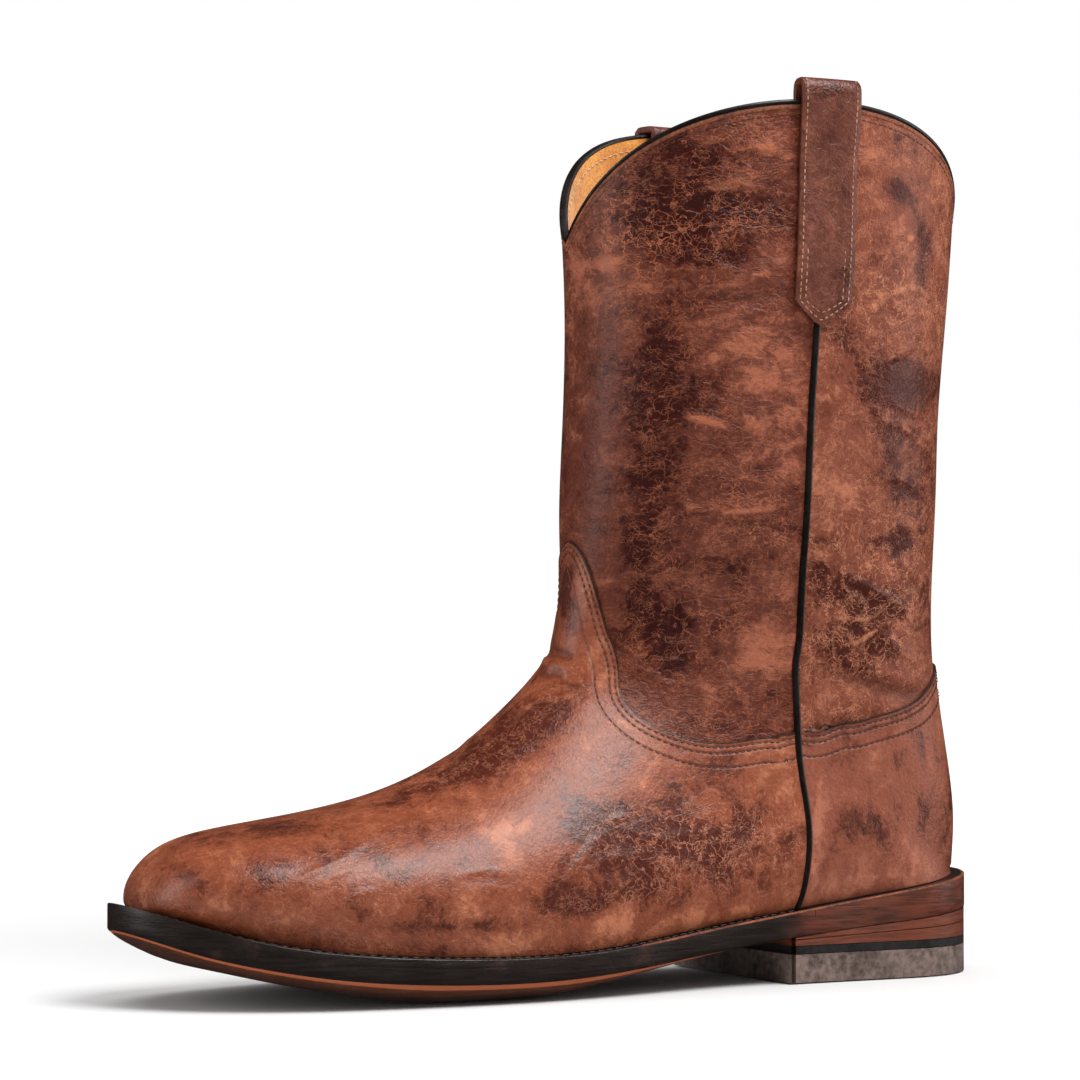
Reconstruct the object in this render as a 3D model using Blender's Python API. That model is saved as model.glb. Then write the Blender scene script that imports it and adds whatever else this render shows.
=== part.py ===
"""Roper boot, left foot: leather upper, welted sole and stacked heel. Toe towards -X, outer side towards -Y."""
import math

import bmesh
import bpy
import numpy as np

MM = 0.001

# Driving sizes, in millimetres
OUTSOLE_LENGTH = 302.0
BALL_WIDTH = 108.0
HEEL_WIDTH = 77.0
HEEL_LENGTH = 84.0
INSTEP_HEIGHT = 112.0
SHAFT_HEIGHT = 283.0
SHAFT_DEPTH = 136.0
SHAFT_WIDTH = 103.0
COLLAR_DIP = 47.0
DIP_TURN = 12.0
DIP_POWER = 2.1

# Walls, layers and margins, in millimetres
WALL = 2.2
FOOT_LAYER = 1.0
WELT_MARGIN = 7.0
RAND_MARGIN = 4.5
WELT_THICKNESS = 2.8
INSOLE_RISE = 2.4
INSOLE_CHAMFER = 1.2
CLEARANCE = 0.3
EDGE_BEVEL = 4.0
SOLE_CROWN_INSET = 16.0

# Heel stack, in millimetres from the floor up
HEEL_CAP = 9.2
HEEL_LAYER = 2.7
LIFT_FRONT = 1.9
LIFT_BACK = 5.2
HEEL_SET_IN = 0.8

# Side seam, pull straps and piping, in millimetres
SEAM_BACK = 84.0
STRAP_WIDTH = 20.5
STRAP_THICKNESS = 2.2
STRAP_OUTSIDE = 72.0
STRAP_INSIDE = 52.0
STRAP_POINT = 8.0
STRAP_RISE = 7.4
STRAP_LOOP = 10.4
PIPING_WIDTH = 2.6
PIPING_HEIGHT = 1.6

# Rows of the upper: 0 is the toe's tip, HEEL_ROW the last row that is open underneath, 1 the collar
HEEL_ROW = 0.56
LEG_ROW = 0.76

# Sole outline from toe to heel: share of the length, then outer and inner half-width
# as shares of the ball width, and what the heel width adds to both
OUTLINE = (
    # length, outer, inner, heel
    (0.00, 0.400, 0.310, 0.00),
    (0.10, 0.430, 0.345, 0.00),
    (0.20, 0.470, 0.405, 0.00),
    (0.30, 0.500, 0.475, 0.00),
    (0.40, 0.500, 0.455, 0.00),
    (0.52, 0.380, 0.305, 0.10),
    (0.64, 0.172, 0.100, 0.30),
    (0.76, 0.000, 0.000, 0.50),
    (0.88, 0.000, 0.000, 0.495),
    (1.00, 0.000, 0.000, 0.49),
)
TOE_ROUND = (0.20, 2.1)
HEEL_ROUND = (0.125, 2.2)

# Sole seen from the side: share of the length, then the welt's top, the edge's lower side
# and the crown under it, all as shares of the instep height
SOLE_SIDE = (
    # length, top, edge, crown
    (0.00, 0.277, 0.205, 0.020),
    (0.05, 0.228, 0.152, 0.026),
    (0.10, 0.188, 0.117, 0.032),
    (0.20, 0.145, 0.075, 0.045),
    (0.30, 0.127, 0.057, 0.062),
    (0.40, 0.121, 0.054, 0.060),
    (0.50, 0.133, 0.068, 0.040),
    (0.60, 0.163, 0.096, 0.018),
    (0.70, 0.195, 0.124, 0.000),
    (0.80, 0.229, 0.150, 0.000),
    (0.90, 0.263, 0.172, 0.000),
    (1.00, 0.296, 0.196, 0.000),
)

# Upper's top and front line seen from the side: row, then x as shares of the outsole length and
# the shaft depth, and z as shares of the instep height and of the leg above it
FRONT_LINE = (
    # row, length, depth, instep, leg
    (0.00, -0.476, 0.00, 0.262, 0.00),
    (0.03, -0.471, 0.00, 0.330, 0.00),
    (0.06, -0.452, 0.00, 0.392, 0.00),
    (0.10, -0.417, 0.00, 0.443, 0.00),
    (0.16, -0.330, 0.00, 0.486, 0.00),
    (0.22, -0.213, 0.00, 0.545, 0.00),
    (0.28, -0.115, 0.00, 0.655, 0.00),
    (0.34, -0.050, 0.00, 0.790, 0.00),
    (0.41, -0.013, 0.00, 0.888, 0.00),
    (0.49, 0.039, -0.08, 0.948, 0.00),
    (0.56, 0.101, -0.20, 1.000, 0.00),
    (0.62, 0.175, -0.35, 1.000, 0.055),
    (0.69, 0.233, -0.47, 1.000, 0.135),
    (0.76, 0.238, -0.475, 1.000, 0.240),
    (0.84, 0.244, -0.475, 1.000, 0.450),
    (0.92, 0.248, -0.475, 1.000, 0.720),
    (1.00, 0.250, -0.490, 1.000, 1.000),
)

# Upper's back line from the heel's seat to the collar, with the same columns
BACK_LINE = (
    # row, length, depth, instep, leg
    (0.56, 0.4835, 0.00, 0.290, 0.00),
    (0.60, 0.4880, 0.00, 0.450, 0.00),
    (0.65, 0.4760, 0.00, 0.700, 0.00),
    (0.70, 0.4100, 0.12, 0.980, 0.00),
    (0.76, 0.2780, 0.42, 1.000, 0.220),
    (0.84, 0.2500, 0.495, 1.000, 0.450),
    (0.92, 0.2500, 0.520, 1.000, 0.720),
    (1.00, 0.2500, 0.545, 1.000, 1.000),
)

# Cross-sections: row, outer and inner half-width as shares of the ball width, what the shaft width
# adds to both, how far up the widest line lies, fullness above and below it, columns below it
SECTIONS = (
    # row, outer, inner, shaft, widest, upper, lower, below
    (0.00, 0.000, 0.000, 0.00, 0.30, 2.3, 2.2, 0.12),
    (0.03, 0.135, 0.112, 0.00, 0.30, 2.3, 2.2, 0.12),
    (0.06, 0.243, 0.192, 0.00, 0.30, 2.4, 2.2, 0.12),
    (0.10, 0.335, 0.272, 0.00, 0.30, 2.4, 2.2, 0.12),
    (0.16, 0.412, 0.352, 0.00, 0.28, 2.3, 2.2, 0.12),
    (0.22, 0.452, 0.418, 0.00, 0.26, 2.1, 2.2, 0.13),
    (0.28, 0.446, 0.400, 0.00, 0.26, 2.0, 2.2, 0.20),
    (0.34, 0.400, 0.345, 0.00, 0.28, 2.0, 2.2, 0.30),
    (0.41, 0.356, 0.330, 0.00, 0.36, 2.0, 2.4, 0.38),
    (0.49, 0.300, 0.292, 0.04, 0.46, 2.0, 2.7, 0.42),
    (0.56, 0.245, 0.245, 0.09, 0.52, 2.0, 2.9, 0.44),
    (0.62, 0.160, 0.160, 0.18, 0.53, 2.0, 2.8, 0.47),
    (0.69, 0.060, 0.060, 0.31, 0.54, 2.05, 2.5, 0.49),
    (0.76, 0.000, 0.000, 0.43, 0.55, 2.05, 2.3, 0.50),
    (0.84, 0.000, 0.000, 0.47, 0.55, 2.0, 2.1, 0.50),
    (0.92, 0.000, 0.000, 0.495, 0.55, 2.0, 2.05, 0.50),
    (1.00, 0.000, 0.000, 0.505, 0.55, 2.0, 2.0, 0.50),
)

# Upper edge of the foot panels: turn round the leg from the back (0) to the front (0.5), and row
FOOT_EDGE = (
    # turn, row
    (0.00, 0.690),
    (0.07, 0.683),
    (0.14, 0.658),
    (0.20, 0.622),
    (0.25, 0.535),
    (0.29, 0.440),
    (0.33, 0.414),
    (0.37, 0.435),
    (0.41, 0.575),
    (0.45, 0.670),
    (0.50, 0.724),
)

# Side seam on the outer side, from the foot panels to the collar
SEAM_LINE = (
    # row, turn
    (0.580, 0.230),
    (0.650, 0.240),
    (0.750, 0.247),
    (1.000, 0.250),
)

# Pull strap's middle line over the collar: outwards from the wall's middle as a share of half the
# loop, then height above the collar as a share of the strap's rise
STRAP_ARCH = (
    # outwards, height
    (1.00, 0.15),
    (1.00, 0.42),
    (0.93, 0.66),
    (0.68, 0.82),
    (0.00, 0.85),
    (-0.68, 0.82),
    (-0.93, 0.66),
    (-1.00, 0.42),
    (-1.00, 0.15),
)


def natural(table, column):
    """Natural cubic curve through one column of a table, against its first column."""
    xs = np.array([line[0] for line in table])
    ys = np.array([line[column] for line in table])
    step = np.diff(xs)
    count = len(xs)
    matrix = np.eye(count)
    right = np.zeros(count)
    for i in range(1, count - 1):
        matrix[i, i - 1:i + 2] = step[i - 1], 2 * (step[i - 1] + step[i]), step[i]
        right[i] = 6 * ((ys[i + 1] - ys[i]) / step[i] - (ys[i] - ys[i - 1]) / step[i - 1])
    bend = np.linalg.solve(matrix, right)

    def curve(value):
        value = np.asarray(value, float)
        i = np.clip(np.searchsorted(xs, value, side="right") - 1, 0, count - 2)
        past = value - xs[i]
        left = xs[i + 1] - value
        cubic = (bend[i] * left ** 3 + bend[i + 1] * past ** 3) / (6 * step[i])
        return (cubic + (ys[i] / step[i] - bend[i] * step[i] / 6) * left
                + (ys[i + 1] / step[i] - bend[i + 1] * step[i] / 6) * past)
    return curve


outer_ball, inner_ball, heel_add = (natural(OUTLINE, k) for k in (1, 2, 3))
sole_top, sole_edge, sole_crown = (natural(SOLE_SIDE, k) for k in (1, 2, 3))
front_line = [natural(FRONT_LINE, k) for k in (1, 2, 3, 4)]
back_line = [natural(BACK_LINE, k) for k in (1, 2, 3, 4)]
section = [natural(SECTIONS, k) for k in range(1, 8)]
foot_edge = natural(FOOT_EDGE, 1)


def along(x):
    """Share of the outsole's length at x, counted from the toe."""
    return np.clip(np.asarray(x) / OUTSOLE_LENGTH + 0.5, 0, 1)


def top_height(x):
    """Height of the welt's top."""
    return INSTEP_HEIGHT * sole_top(along(x))


def edge_height(x):
    """Height of the sole edge's lower side."""
    return INSTEP_HEIGHT * sole_edge(along(x))


def floor_height(x):
    """Height of the sole's underside away from its edge: the ball lies flat on the floor."""
    return np.maximum(edge_height(x) - INSTEP_HEIGHT * sole_crown(along(x)), 0)


def rim(share, side, fore, rear):
    """Point of the sole's outline, set in by fore at the toe and by rear at the heel."""
    share = np.asarray(share, float)
    ball = np.where(side < 0, outer_ball(share), inner_ball(share))
    set_in = fore + (rear - fore) * share ** 2 * (3 - 2 * share)
    half = BALL_WIDTH * ball + HEEL_WIDTH * heel_add(share) - set_in
    toe, toe_power = TOE_ROUND
    heel, heel_power = HEEL_ROUND
    toe_end = (1 - np.clip(1 - share / toe, 0, 1) ** toe_power) ** (1 / toe_power)
    heel_end = (1 - np.clip(1 - (1 - share) / heel, 0, 1) ** heel_power) ** (1 / heel_power)
    x = -OUTSOLE_LENGTH / 2 + fore + share * (OUTSOLE_LENGTH - fore - rear)
    return x, side * half * toe_end * heel_end


def seen_line(curves, row, out):
    """Point of a line of the upper seen from the side, moved out to the line's left."""
    def at(place):
        parts = [curve(place) for curve in curves]
        return np.stack([OUTSOLE_LENGTH * parts[0] + SHAFT_DEPTH * parts[1],
                         INSTEP_HEIGHT * parts[2] + (SHAFT_HEIGHT - INSTEP_HEIGHT) * parts[3]], -1)
    step = 0.002
    lead = at(row + step) - at(row - step)
    lead /= np.linalg.norm(lead, axis=-1, keepdims=True)
    point = at(row)
    return point[..., 0] - out * lead[..., 1], point[..., 1] + out * lead[..., 0]


def skin(row, turn, out):
    """Point of the upper's shape, moved out. Turn runs from the outer feather or the back seam over the top."""
    row, turn = np.broadcast_arrays(np.asarray(row, float), np.asarray(turn, float))
    side = np.where(turn <= 0.5, -1.0, 1.0)
    up = np.clip(2 * np.minimum(turn, 1 - turn), 0, 1)

    share = (1 - np.cos(math.pi * np.clip(row / HEEL_ROW, 0, 1))) / 2
    feather_x, feather_y = rim(share, side, WELT_MARGIN - out, RAND_MARGIN - out)
    feather_y = np.abs(feather_y) * (row < HEEL_ROW)
    back_x, back_z = seen_line(back_line, np.maximum(row, HEEL_ROW), -out)
    back_x = np.where(row < HEEL_ROW, feather_x, back_x)
    back_z = np.where(row < HEEL_ROW, top_height(feather_x) + CLEARANCE, back_z)
    front_x, front_z = seen_line(front_line, row, out)

    outer, inner, shaft, widest, upper, lower, below = (curve(row) for curve in section)
    width = BALL_WIDTH * np.where(side < 0, outer, inner) + SHAFT_WIDTH * shaft + out
    width = np.maximum(width, feather_y + 0.4)
    feather = np.minimum(feather_y / width, 0.985)
    depth = widest / (1 - feather ** lower) ** (1 / lower)
    first = np.arccos(feather ** (lower / 2))
    down = first * np.clip(1 - up / below, 0, 1)
    rise = math.pi / 2 * np.clip((up - below) / (1 - below), 0, 1)
    high = np.where(up < below, widest - depth * np.sin(down) ** (2 / lower),
                    widest + (1 - widest) * np.sin(rise) ** (2 / upper))
    across = np.where(up < below, np.cos(down) ** (2 / lower), np.abs(np.cos(rise)) ** (2 / upper))
    point = np.stack([back_x + high * (front_x - back_x), side * width * across,
                      back_z + high * (front_z - back_z)], -1)
    point[..., 2] -= collar_dip(turn) * np.clip((row - LEG_ROW) / (1 - LEG_ROW), 0, 1) ** 1.5
    return point


def collar_dip(turn):
    """How far the collar lies below its peaks at the side seams: a V in front and one behind."""
    degrees = 360 * turn
    front = 180 + DIP_TURN
    reach = np.where(degrees < front, front - 90, 270 - front)
    near_front = np.sqrt((degrees - front) ** 2 + 25) / reach
    near_back = np.sqrt(np.minimum(degrees, 360 - degrees) ** 2 + 25) / 90
    return COLLAR_DIP * (np.clip(1 - near_front, 0, 1) ** DIP_POWER + np.clip(1 - near_back, 0, 1) ** DIP_POWER)


# Building the nodes

SOLE_STEPS = 26
HEEL_STEPS = 44
OPEN_ROWS = SOLE_STEPS
BACK_ROWS = 5
LEG_ROWS = 14
COLUMNS = 40
STEP_ROW = 0.004


def clear_scene():
    for thing in list(bpy.data.objects):
        bpy.data.objects.remove(thing, do_unlink=True)


def finish_material(name, colour, roughness, metallic=0.0):
    material = bpy.data.materials.new(name)
    material.use_nodes = True
    shader = material.node_tree.nodes["Principled BSDF"]
    shader.inputs["Base Color"].default_value = (*colour, 1.0)
    shader.inputs["Roughness"].default_value = roughness
    shader.inputs["Metallic"].default_value = metallic
    return material


def add_node(name, shape, material, smooth_degrees=35):
    """Turn a finished bmesh, in millimetres, into the named object."""
    bmesh.ops.scale(shape, vec=(MM, MM, MM), verts=shape.verts)
    bmesh.ops.recalc_face_normals(shape, faces=shape.faces)
    mesh = bpy.data.meshes.new(name)
    shape.to_mesh(mesh)
    shape.free()
    mesh.shade_smooth()
    mesh.set_sharp_from_angle(angle=math.radians(smooth_degrees))
    mesh.materials.append(material)
    thing = bpy.data.objects.new(name, mesh)
    bpy.context.scene.collection.objects.link(thing)
    return thing


def grid_faces(shape, rows):
    """Quads between neighbouring rows of vertices, or triangles where a row is one point."""
    for low, high in zip(rows, rows[1:]):
        for k in range(max(len(low), len(high)) - 1):
            corners = [low[min(k, len(low) - 1)], low[min(k + 1, len(low) - 1)],
                       high[min(k + 1, len(high) - 1)], high[min(k, len(high) - 1)]]
            shape.faces.new(list(dict.fromkeys(corners)))


def upper_rows(offset, foot_offset, rim_inset):
    """Rows of points of one skin of the upper, from the toe to the collar."""
    turns = np.linspace(0, 1, COLUMNS + 1)
    edge = foot_edge(np.minimum(turns, 1 - turns))
    heel_share = OPEN_ROWS / (OPEN_ROWS + BACK_ROWS)
    rows = []
    for i in range(1, OPEN_ROWS + BACK_ROWS + 1):
        share = i / (OPEN_ROWS + BACK_ROWS)
        if i <= OPEN_ROWS:
            plain = HEEL_ROW * i / OPEN_ROWS
        else:
            plain = HEEL_ROW + (edge[0] - HEEL_ROW) * (share - heel_share) / (1 - heel_share)
        row = plain + (edge - edge[0]) * share ** 2
        points = skin(row, turns, foot_offset)
        if i <= OPEN_ROWS:
            share_at = (1 - math.cos(math.pi * i / OPEN_ROWS)) / 2
            for k, side in ((0, -1), (COLUMNS, 1)):
                x, y = rim(share_at, side, WELT_MARGIN + rim_inset, RAND_MARGIN + rim_inset)
                points[k] = x, y, top_height(x) + CLEARANCE
        rows.append(points)
    for i in range(LEG_ROWS + 1):
        share = i / LEG_ROWS
        row = edge + STEP_ROW + (1 - edge - STEP_ROW) * share
        rows.append(skin(row, turns, offset))
    toe_x = -OUTSOLE_LENGTH / 2 + WELT_MARGIN + rim_inset
    return [np.array([[toe_x, 0, top_height(toe_x) + CLEARANCE]])] + rows


def skin_vertices(shape, rows):
    """Vertices of one skin. From the heel upwards a row is closed, so its two ends are one vertex."""
    made = []
    for i, points in enumerate(rows):
        if i >= OPEN_ROWS:
            points = points[:-1]
        line = [shape.verts.new(point) for point in points]
        if i >= OPEN_ROWS:
            line.append(line[0])
        made.append(line)
    return made


def build_upper(material):
    """Hollow upper with the foot panels standing one layer proud of the shaft."""
    shape = bmesh.new()
    half = FOOT_LAYER / 2
    outside = skin_vertices(shape, upper_rows(-half, half, -half))
    inside = skin_vertices(shape, upper_rows(-half - WALL, -half - WALL, half + WALL))
    grid_faces(shape, outside)
    grid_faces(shape, inside)
    for end in (0, -1):
        grid_faces(shape, [[line[end] for line in skin_rows[:OPEN_ROWS + 1]] for skin_rows in (outside, inside)])
    grid_faces(shape, [outside[-1], inside[-1]])
    return add_node("upper", shape, material)


def sole_shares(first=0.0, last=1.0, steps=SOLE_STEPS):
    """Shares of the outline between two shares, closer together at toe and heel."""
    start = math.acos(1 - 2 * first)
    stop = math.acos(1 - 2 * last)
    count = max(6, round(steps * (stop - start) / math.pi))
    return (1 - np.cos(np.linspace(start, stop, count + 1))) / 2


def build_plate(name, levels, shares, material):
    """Plate with the sole's outline, from levels of (inset at toe, inset at heel, height over x)."""
    shape = bmesh.new()
    rings = []
    for fore, rear, height in levels:
        sides = []
        for side in (-1, 1):
            xs, ys = rim(shares, side, fore, rear)
            sides.append([shape.verts.new(point) for point in zip(xs, ys, height(xs))])
        for end in (0, -1):
            if abs(sides[0][end].co.y) < CLEARANCE:
                shape.verts.remove(sides[1][end])
                sides[1][end] = sides[0][end]
        rings.append(sides)
    for upper, lower in zip(rings, rings[1:]):
        for side in (0, 1):
            grid_faces(shape, [upper[side], lower[side]])
        if upper[0][0] is not upper[1][0]:
            shape.faces.new((upper[0][0], lower[0][0], lower[1][0], upper[1][0]))
    for sides in (rings[0], rings[-1]):
        for k in range(len(shares) - 1):
            corners = [sides[0][k], sides[0][k + 1], sides[1][k + 1], sides[1][k]]
            shape.faces.new(list(dict.fromkeys(corners)))
    return add_node(name, shape, material)


def build_strip(name, stations, inset_fore, inset_rear, material):
    """Strip of welt leather along the sole's edge through (share, side) stations."""
    shape = bmesh.new()
    lines = []
    for share, side in stations:
        line = []
        for fore, rear, drop in ((0, 0, 0), (0, 0, WELT_THICKNESS),
                                 (inset_fore, inset_rear, WELT_THICKNESS), (inset_fore, inset_rear, 0)):
            x, y = rim(share, side, fore, rear)
            line.append(shape.verts.new((x, y, top_height(x) - drop)))
        lines.append(line + line[:1])
    grid_faces(shape, lines)
    shape.faces.new(lines[0][:4])
    shape.faces.new(lines[-1][3::-1])
    return add_node(name, shape, material)


def seam_turn(row, side):
    """Turn of the side seam at a row, on the outer (-1) or the inner side (1)."""
    turn = natural(SEAM_LINE, 1)(row)
    return turn if side < 0 else 1 - turn


def row_at(height, side):
    """Row whose side seam lies at a height."""
    rows = np.linspace(SEAM_LINE[0][0], 1, 200)
    heights = skin(rows, seam_turn(rows, side), 0)[:, 2]
    return np.interp(height, heights, rows)


def build_strap(name, side, material):
    """Leather pull strap sewn outside and inside the collar, with a loop standing above it."""
    shape = bmesh.new()
    wall_middle = -(FOOT_LAYER + WALL) / 2
    lie = WALL / 2 + CLEARANCE + STRAP_THICKNESS / 2
    swell = (STRAP_LOOP - STRAP_THICKNESS) / 2
    spread = STRAP_WIDTH / (math.pi * SHAFT_DEPTH)
    path = [(lie, -STRAP_OUTSIDE, 1.0), (lie, -STRAP_OUTSIDE * 0.6, 0.0), (lie, -STRAP_OUTSIDE * 0.25, 0.0)]
    path += [(swell * out, STRAP_RISE * high, 0.0) for out, high in STRAP_ARCH]
    path += [(-lie, -STRAP_INSIDE * 0.25, 0.0), (-lie, -STRAP_INSIDE, 0.0)]
    lines = []
    for k, (out, high, point) in enumerate(path):
        before = path[max(k - 1, 0)]
        after = path[min(k + 1, len(path) - 1)]
        run = math.hypot(after[0] - before[0], after[1] - before[1])
        normal = ((after[1] - before[1]) / run, -(after[0] - before[0]) / run)
        faces = []
        for face in (0.5, -0.5):
            line = []
            for across in (-1.0, -0.5, 0.0, 0.5, 1.0):
                level = high + point * STRAP_POINT * abs(across)
                row = row_at(SHAFT_HEIGHT + min(level, 0), side)
                turn = seam_turn(row, side) + across * spread / 2
                spot = skin(row, turn, wall_middle + out + face * STRAP_THICKNESS * normal[0])
                spot[2] = SHAFT_HEIGHT + level + face * STRAP_THICKNESS * normal[1]
                line.append(shape.verts.new(spot))
            faces.append(line)
        lines.append(faces[0] + faces[1][::-1] + faces[0][:1])
    grid_faces(shape, lines)
    for ring in (lines[0], lines[-1]):
        for k in range(4):
            shape.faces.new((ring[k], ring[k + 1], ring[8 - k], ring[9 - k]))
    return add_node(name, shape, material)


def build_piping(name, side, material):
    """Half-round piping along a side seam, from the foot panels to the strap's point."""
    shape = bmesh.new()
    top = row_at(SHAFT_HEIGHT - STRAP_OUTSIDE - 1.5, side)
    bottom = SEAM_LINE[0][0] + 6 * STEP_ROW
    spread = PIPING_WIDTH / (math.pi * SHAFT_DEPTH)
    base = 1.4 * CLEARANCE - FOOT_LAYER / 2
    lines = []
    for row in np.linspace(bottom, top, 16):
        line = []
        for angle in np.linspace(0, math.pi, 7):
            turn = seam_turn(row, side) + spread / 2 * math.cos(angle)
            line.append(shape.verts.new(skin(row, turn, base + PIPING_HEIGHT * math.sin(angle))))
        lines.append(line + line[:1])
    grid_faces(shape, lines)
    shape.faces.new(lines[0][:7])
    shape.faces.new(lines[-1][6::-1])
    return add_node(name, shape, material)


def build_sole(leather_dark, leather_edge, leather_insole):
    """Outsole, welt and heel rand in the same outline, and the insole inside the upper."""
    under = WELT_THICKNESS + CLEARANCE
    build_plate("outsole", (
        (0, 0, lambda x: top_height(x) - under),
        (0, 0, edge_height),
        (EDGE_BEVEL, EDGE_BEVEL, lambda x: (edge_height(x) + floor_height(x)) / 2),
        (SOLE_CROWN_INSET, SOLE_CROWN_INSET, floor_height),
    ), sole_shares(), leather_edge)

    seam_share = 1 - (SEAM_BACK - 9) / OUTSOLE_LENGTH
    joint = CLEARANCE / OUTSOLE_LENGTH
    inset = FOOT_LAYER / 2 + WALL
    fore = WELT_MARGIN + inset
    rear = RAND_MARGIN + inset
    front = [share for share in sole_shares() if share < seam_share] + [seam_share]
    stations = [(share, -1) for share in front[:0:-1]] + [(share, 1) for share in front]
    build_strip("welt", stations, fore, rear, leather_dark)
    back = [seam_share + joint] + [share for share in sole_shares() if share > seam_share + joint]
    stations = [(share, -1) for share in back] + [(share, 1) for share in back[-2::-1]]
    build_strip("heel_rand", stations, fore, rear, leather_dark)

    build_plate("insole", (
        (fore + CLEARANCE + INSOLE_CHAMFER, rear + CLEARANCE + INSOLE_CHAMFER,
         lambda x: top_height(x) + INSOLE_RISE),
        (fore + CLEARANCE, rear + CLEARANCE, top_height),
        (fore + CLEARANCE, rear + CLEARANCE, lambda x: top_height(x) - WELT_THICKNESS),
    ), sole_shares(), leather_insole)


def build_heel(rubber, layer, lift):
    """Heel stack from the floor up: rubber cap, thin layer and two wedge lifts."""
    breast = (OUTSOLE_LENGTH - HEEL_LENGTH - HEEL_SET_IN) / (OUTSOLE_LENGTH - 2 * HEEL_SET_IN)
    shares = sole_shares(breast, 1, HEEL_STEPS)
    breast_x = OUTSOLE_LENGTH / 2 - HEEL_LENGTH
    layer_top = HEEL_CAP + HEEL_LAYER

    def lift_height(x):
        return layer_top + LIFT_FRONT + (LIFT_BACK - LIFT_FRONT) * (x - breast_x) / HEEL_LENGTH

    def level(height):
        return lambda x: np.full_like(x, height)

    def piece(name, upper, lower, material):
        build_plate(name, ((HEEL_SET_IN, HEEL_SET_IN, upper), (HEEL_SET_IN, HEEL_SET_IN, lower)), shares, material)

    piece("heel_cap", level(HEEL_CAP), level(0.0), rubber)
    piece("heel_layer", level(layer_top), level(HEEL_CAP + CLEARANCE), layer)
    piece("heel_lift_lower", lift_height, level(layer_top + CLEARANCE), lift)
    piece("heel_lift_upper", lambda x: edge_height(x) - CLEARANCE, lambda x: lift_height(x) + CLEARANCE, lift)


def build_boot():
    clear_scene()
    build_upper(finish_material("upper_leather", (0.19, 0.065, 0.035), 0.42))
    build_sole(
        finish_material("welt_leather", (0.035, 0.022, 0.018), 0.4),
        finish_material("sole_leather", (0.045, 0.028, 0.02), 0.45),
        finish_material("insole_leather", (0.55, 0.33, 0.15), 0.7),
    )
    build_heel(
        finish_material("heel_rubber", (0.16, 0.115, 0.1), 0.6),
        finish_material("heel_layer_rubber", (0.02, 0.018, 0.017), 0.5),
        finish_material("lift_leather", (0.16, 0.055, 0.033), 0.4),
    )
    strap = finish_material("strap_leather", (0.13, 0.045, 0.028), 0.45)
    piping = finish_material("piping_leather", (0.012, 0.009, 0.008), 0.4)
    for name, side in (("lateral", -1), ("medial", 1)):
        build_strap(f"pull_strap_{name}", side, strap)
        build_piping(f"side_piping_{name}", side, piping)


build_boot()
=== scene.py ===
import math

import bmesh
import bpy
import numpy as np
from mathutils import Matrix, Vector


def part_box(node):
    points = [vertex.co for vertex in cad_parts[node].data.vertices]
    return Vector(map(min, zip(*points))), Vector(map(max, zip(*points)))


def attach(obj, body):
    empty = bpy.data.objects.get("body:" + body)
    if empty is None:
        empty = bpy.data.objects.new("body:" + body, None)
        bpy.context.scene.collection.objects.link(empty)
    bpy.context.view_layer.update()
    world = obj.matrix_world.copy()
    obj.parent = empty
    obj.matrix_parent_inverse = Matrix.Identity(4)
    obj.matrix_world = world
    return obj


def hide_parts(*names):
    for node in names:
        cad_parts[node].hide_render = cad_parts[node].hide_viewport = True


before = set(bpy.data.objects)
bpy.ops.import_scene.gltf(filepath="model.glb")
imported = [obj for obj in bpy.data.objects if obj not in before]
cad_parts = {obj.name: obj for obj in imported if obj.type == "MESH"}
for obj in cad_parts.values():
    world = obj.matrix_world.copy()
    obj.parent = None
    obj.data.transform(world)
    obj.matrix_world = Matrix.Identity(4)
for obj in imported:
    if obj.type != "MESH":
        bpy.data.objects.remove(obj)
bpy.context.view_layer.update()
print("frame loaded")

# The boot's own sizes in millimetres, toe towards -x and the outer side towards -y
soleLow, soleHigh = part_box("outsole")
boot = {
    "length": (soleHigh.x - soleLow.x) * 1000,
    "ballWidth": 108.0,
    "heelWidth": 77.0,
    "heelLength": 84.0,
    "instep": 112.0,
    "shaftHeight": 283.0,
    "shaftDepth": 136.0,
    "shaftWidth": 103.0,
    "collarDip": 47.0,
    "dipTurn": 12.0,
    "dipPower": 2.1,
    "wall": 2.2,
    "footLayer": 1.0,
    "footOut": 0.5,
    "legOut": -0.5,
    "weltMargin": 7.0,
    "randMargin": 4.5,
    "weltThickness": 2.8,
    "clearance": 0.3,
    "toeRound": (0.20, 2.1),
    "heelRound": (0.125, 2.2),
    "heelRow": 0.56,
    "legRow": 0.76,
    "seamBack": 84.0,
}

# Share of the length from the toe, outer and inner half-width over the ball width, share of the heel width
outlineTable = (
    (0.00, 0.400, 0.310, 0.00),
    (0.10, 0.430, 0.345, 0.00),
    (0.20, 0.470, 0.405, 0.00),
    (0.30, 0.500, 0.475, 0.00),
    (0.40, 0.500, 0.455, 0.00),
    (0.52, 0.380, 0.305, 0.10),
    (0.64, 0.172, 0.100, 0.30),
    (0.76, 0.000, 0.000, 0.50),
    (0.88, 0.000, 0.000, 0.495),
    (1.00, 0.000, 0.000, 0.49),
)

# Share of the length, then welt's top, edge's lower side and crown over the instep height
soleTable = (
    (0.00, 0.277, 0.205, 0.020),
    (0.05, 0.228, 0.152, 0.026),
    (0.10, 0.188, 0.117, 0.032),
    (0.20, 0.145, 0.075, 0.045),
    (0.30, 0.127, 0.057, 0.062),
    (0.40, 0.121, 0.054, 0.060),
    (0.50, 0.133, 0.068, 0.040),
    (0.60, 0.163, 0.096, 0.018),
    (0.70, 0.195, 0.124, 0.000),
    (0.80, 0.229, 0.150, 0.000),
    (0.90, 0.263, 0.172, 0.000),
    (1.00, 0.296, 0.196, 0.000),
)

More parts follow.
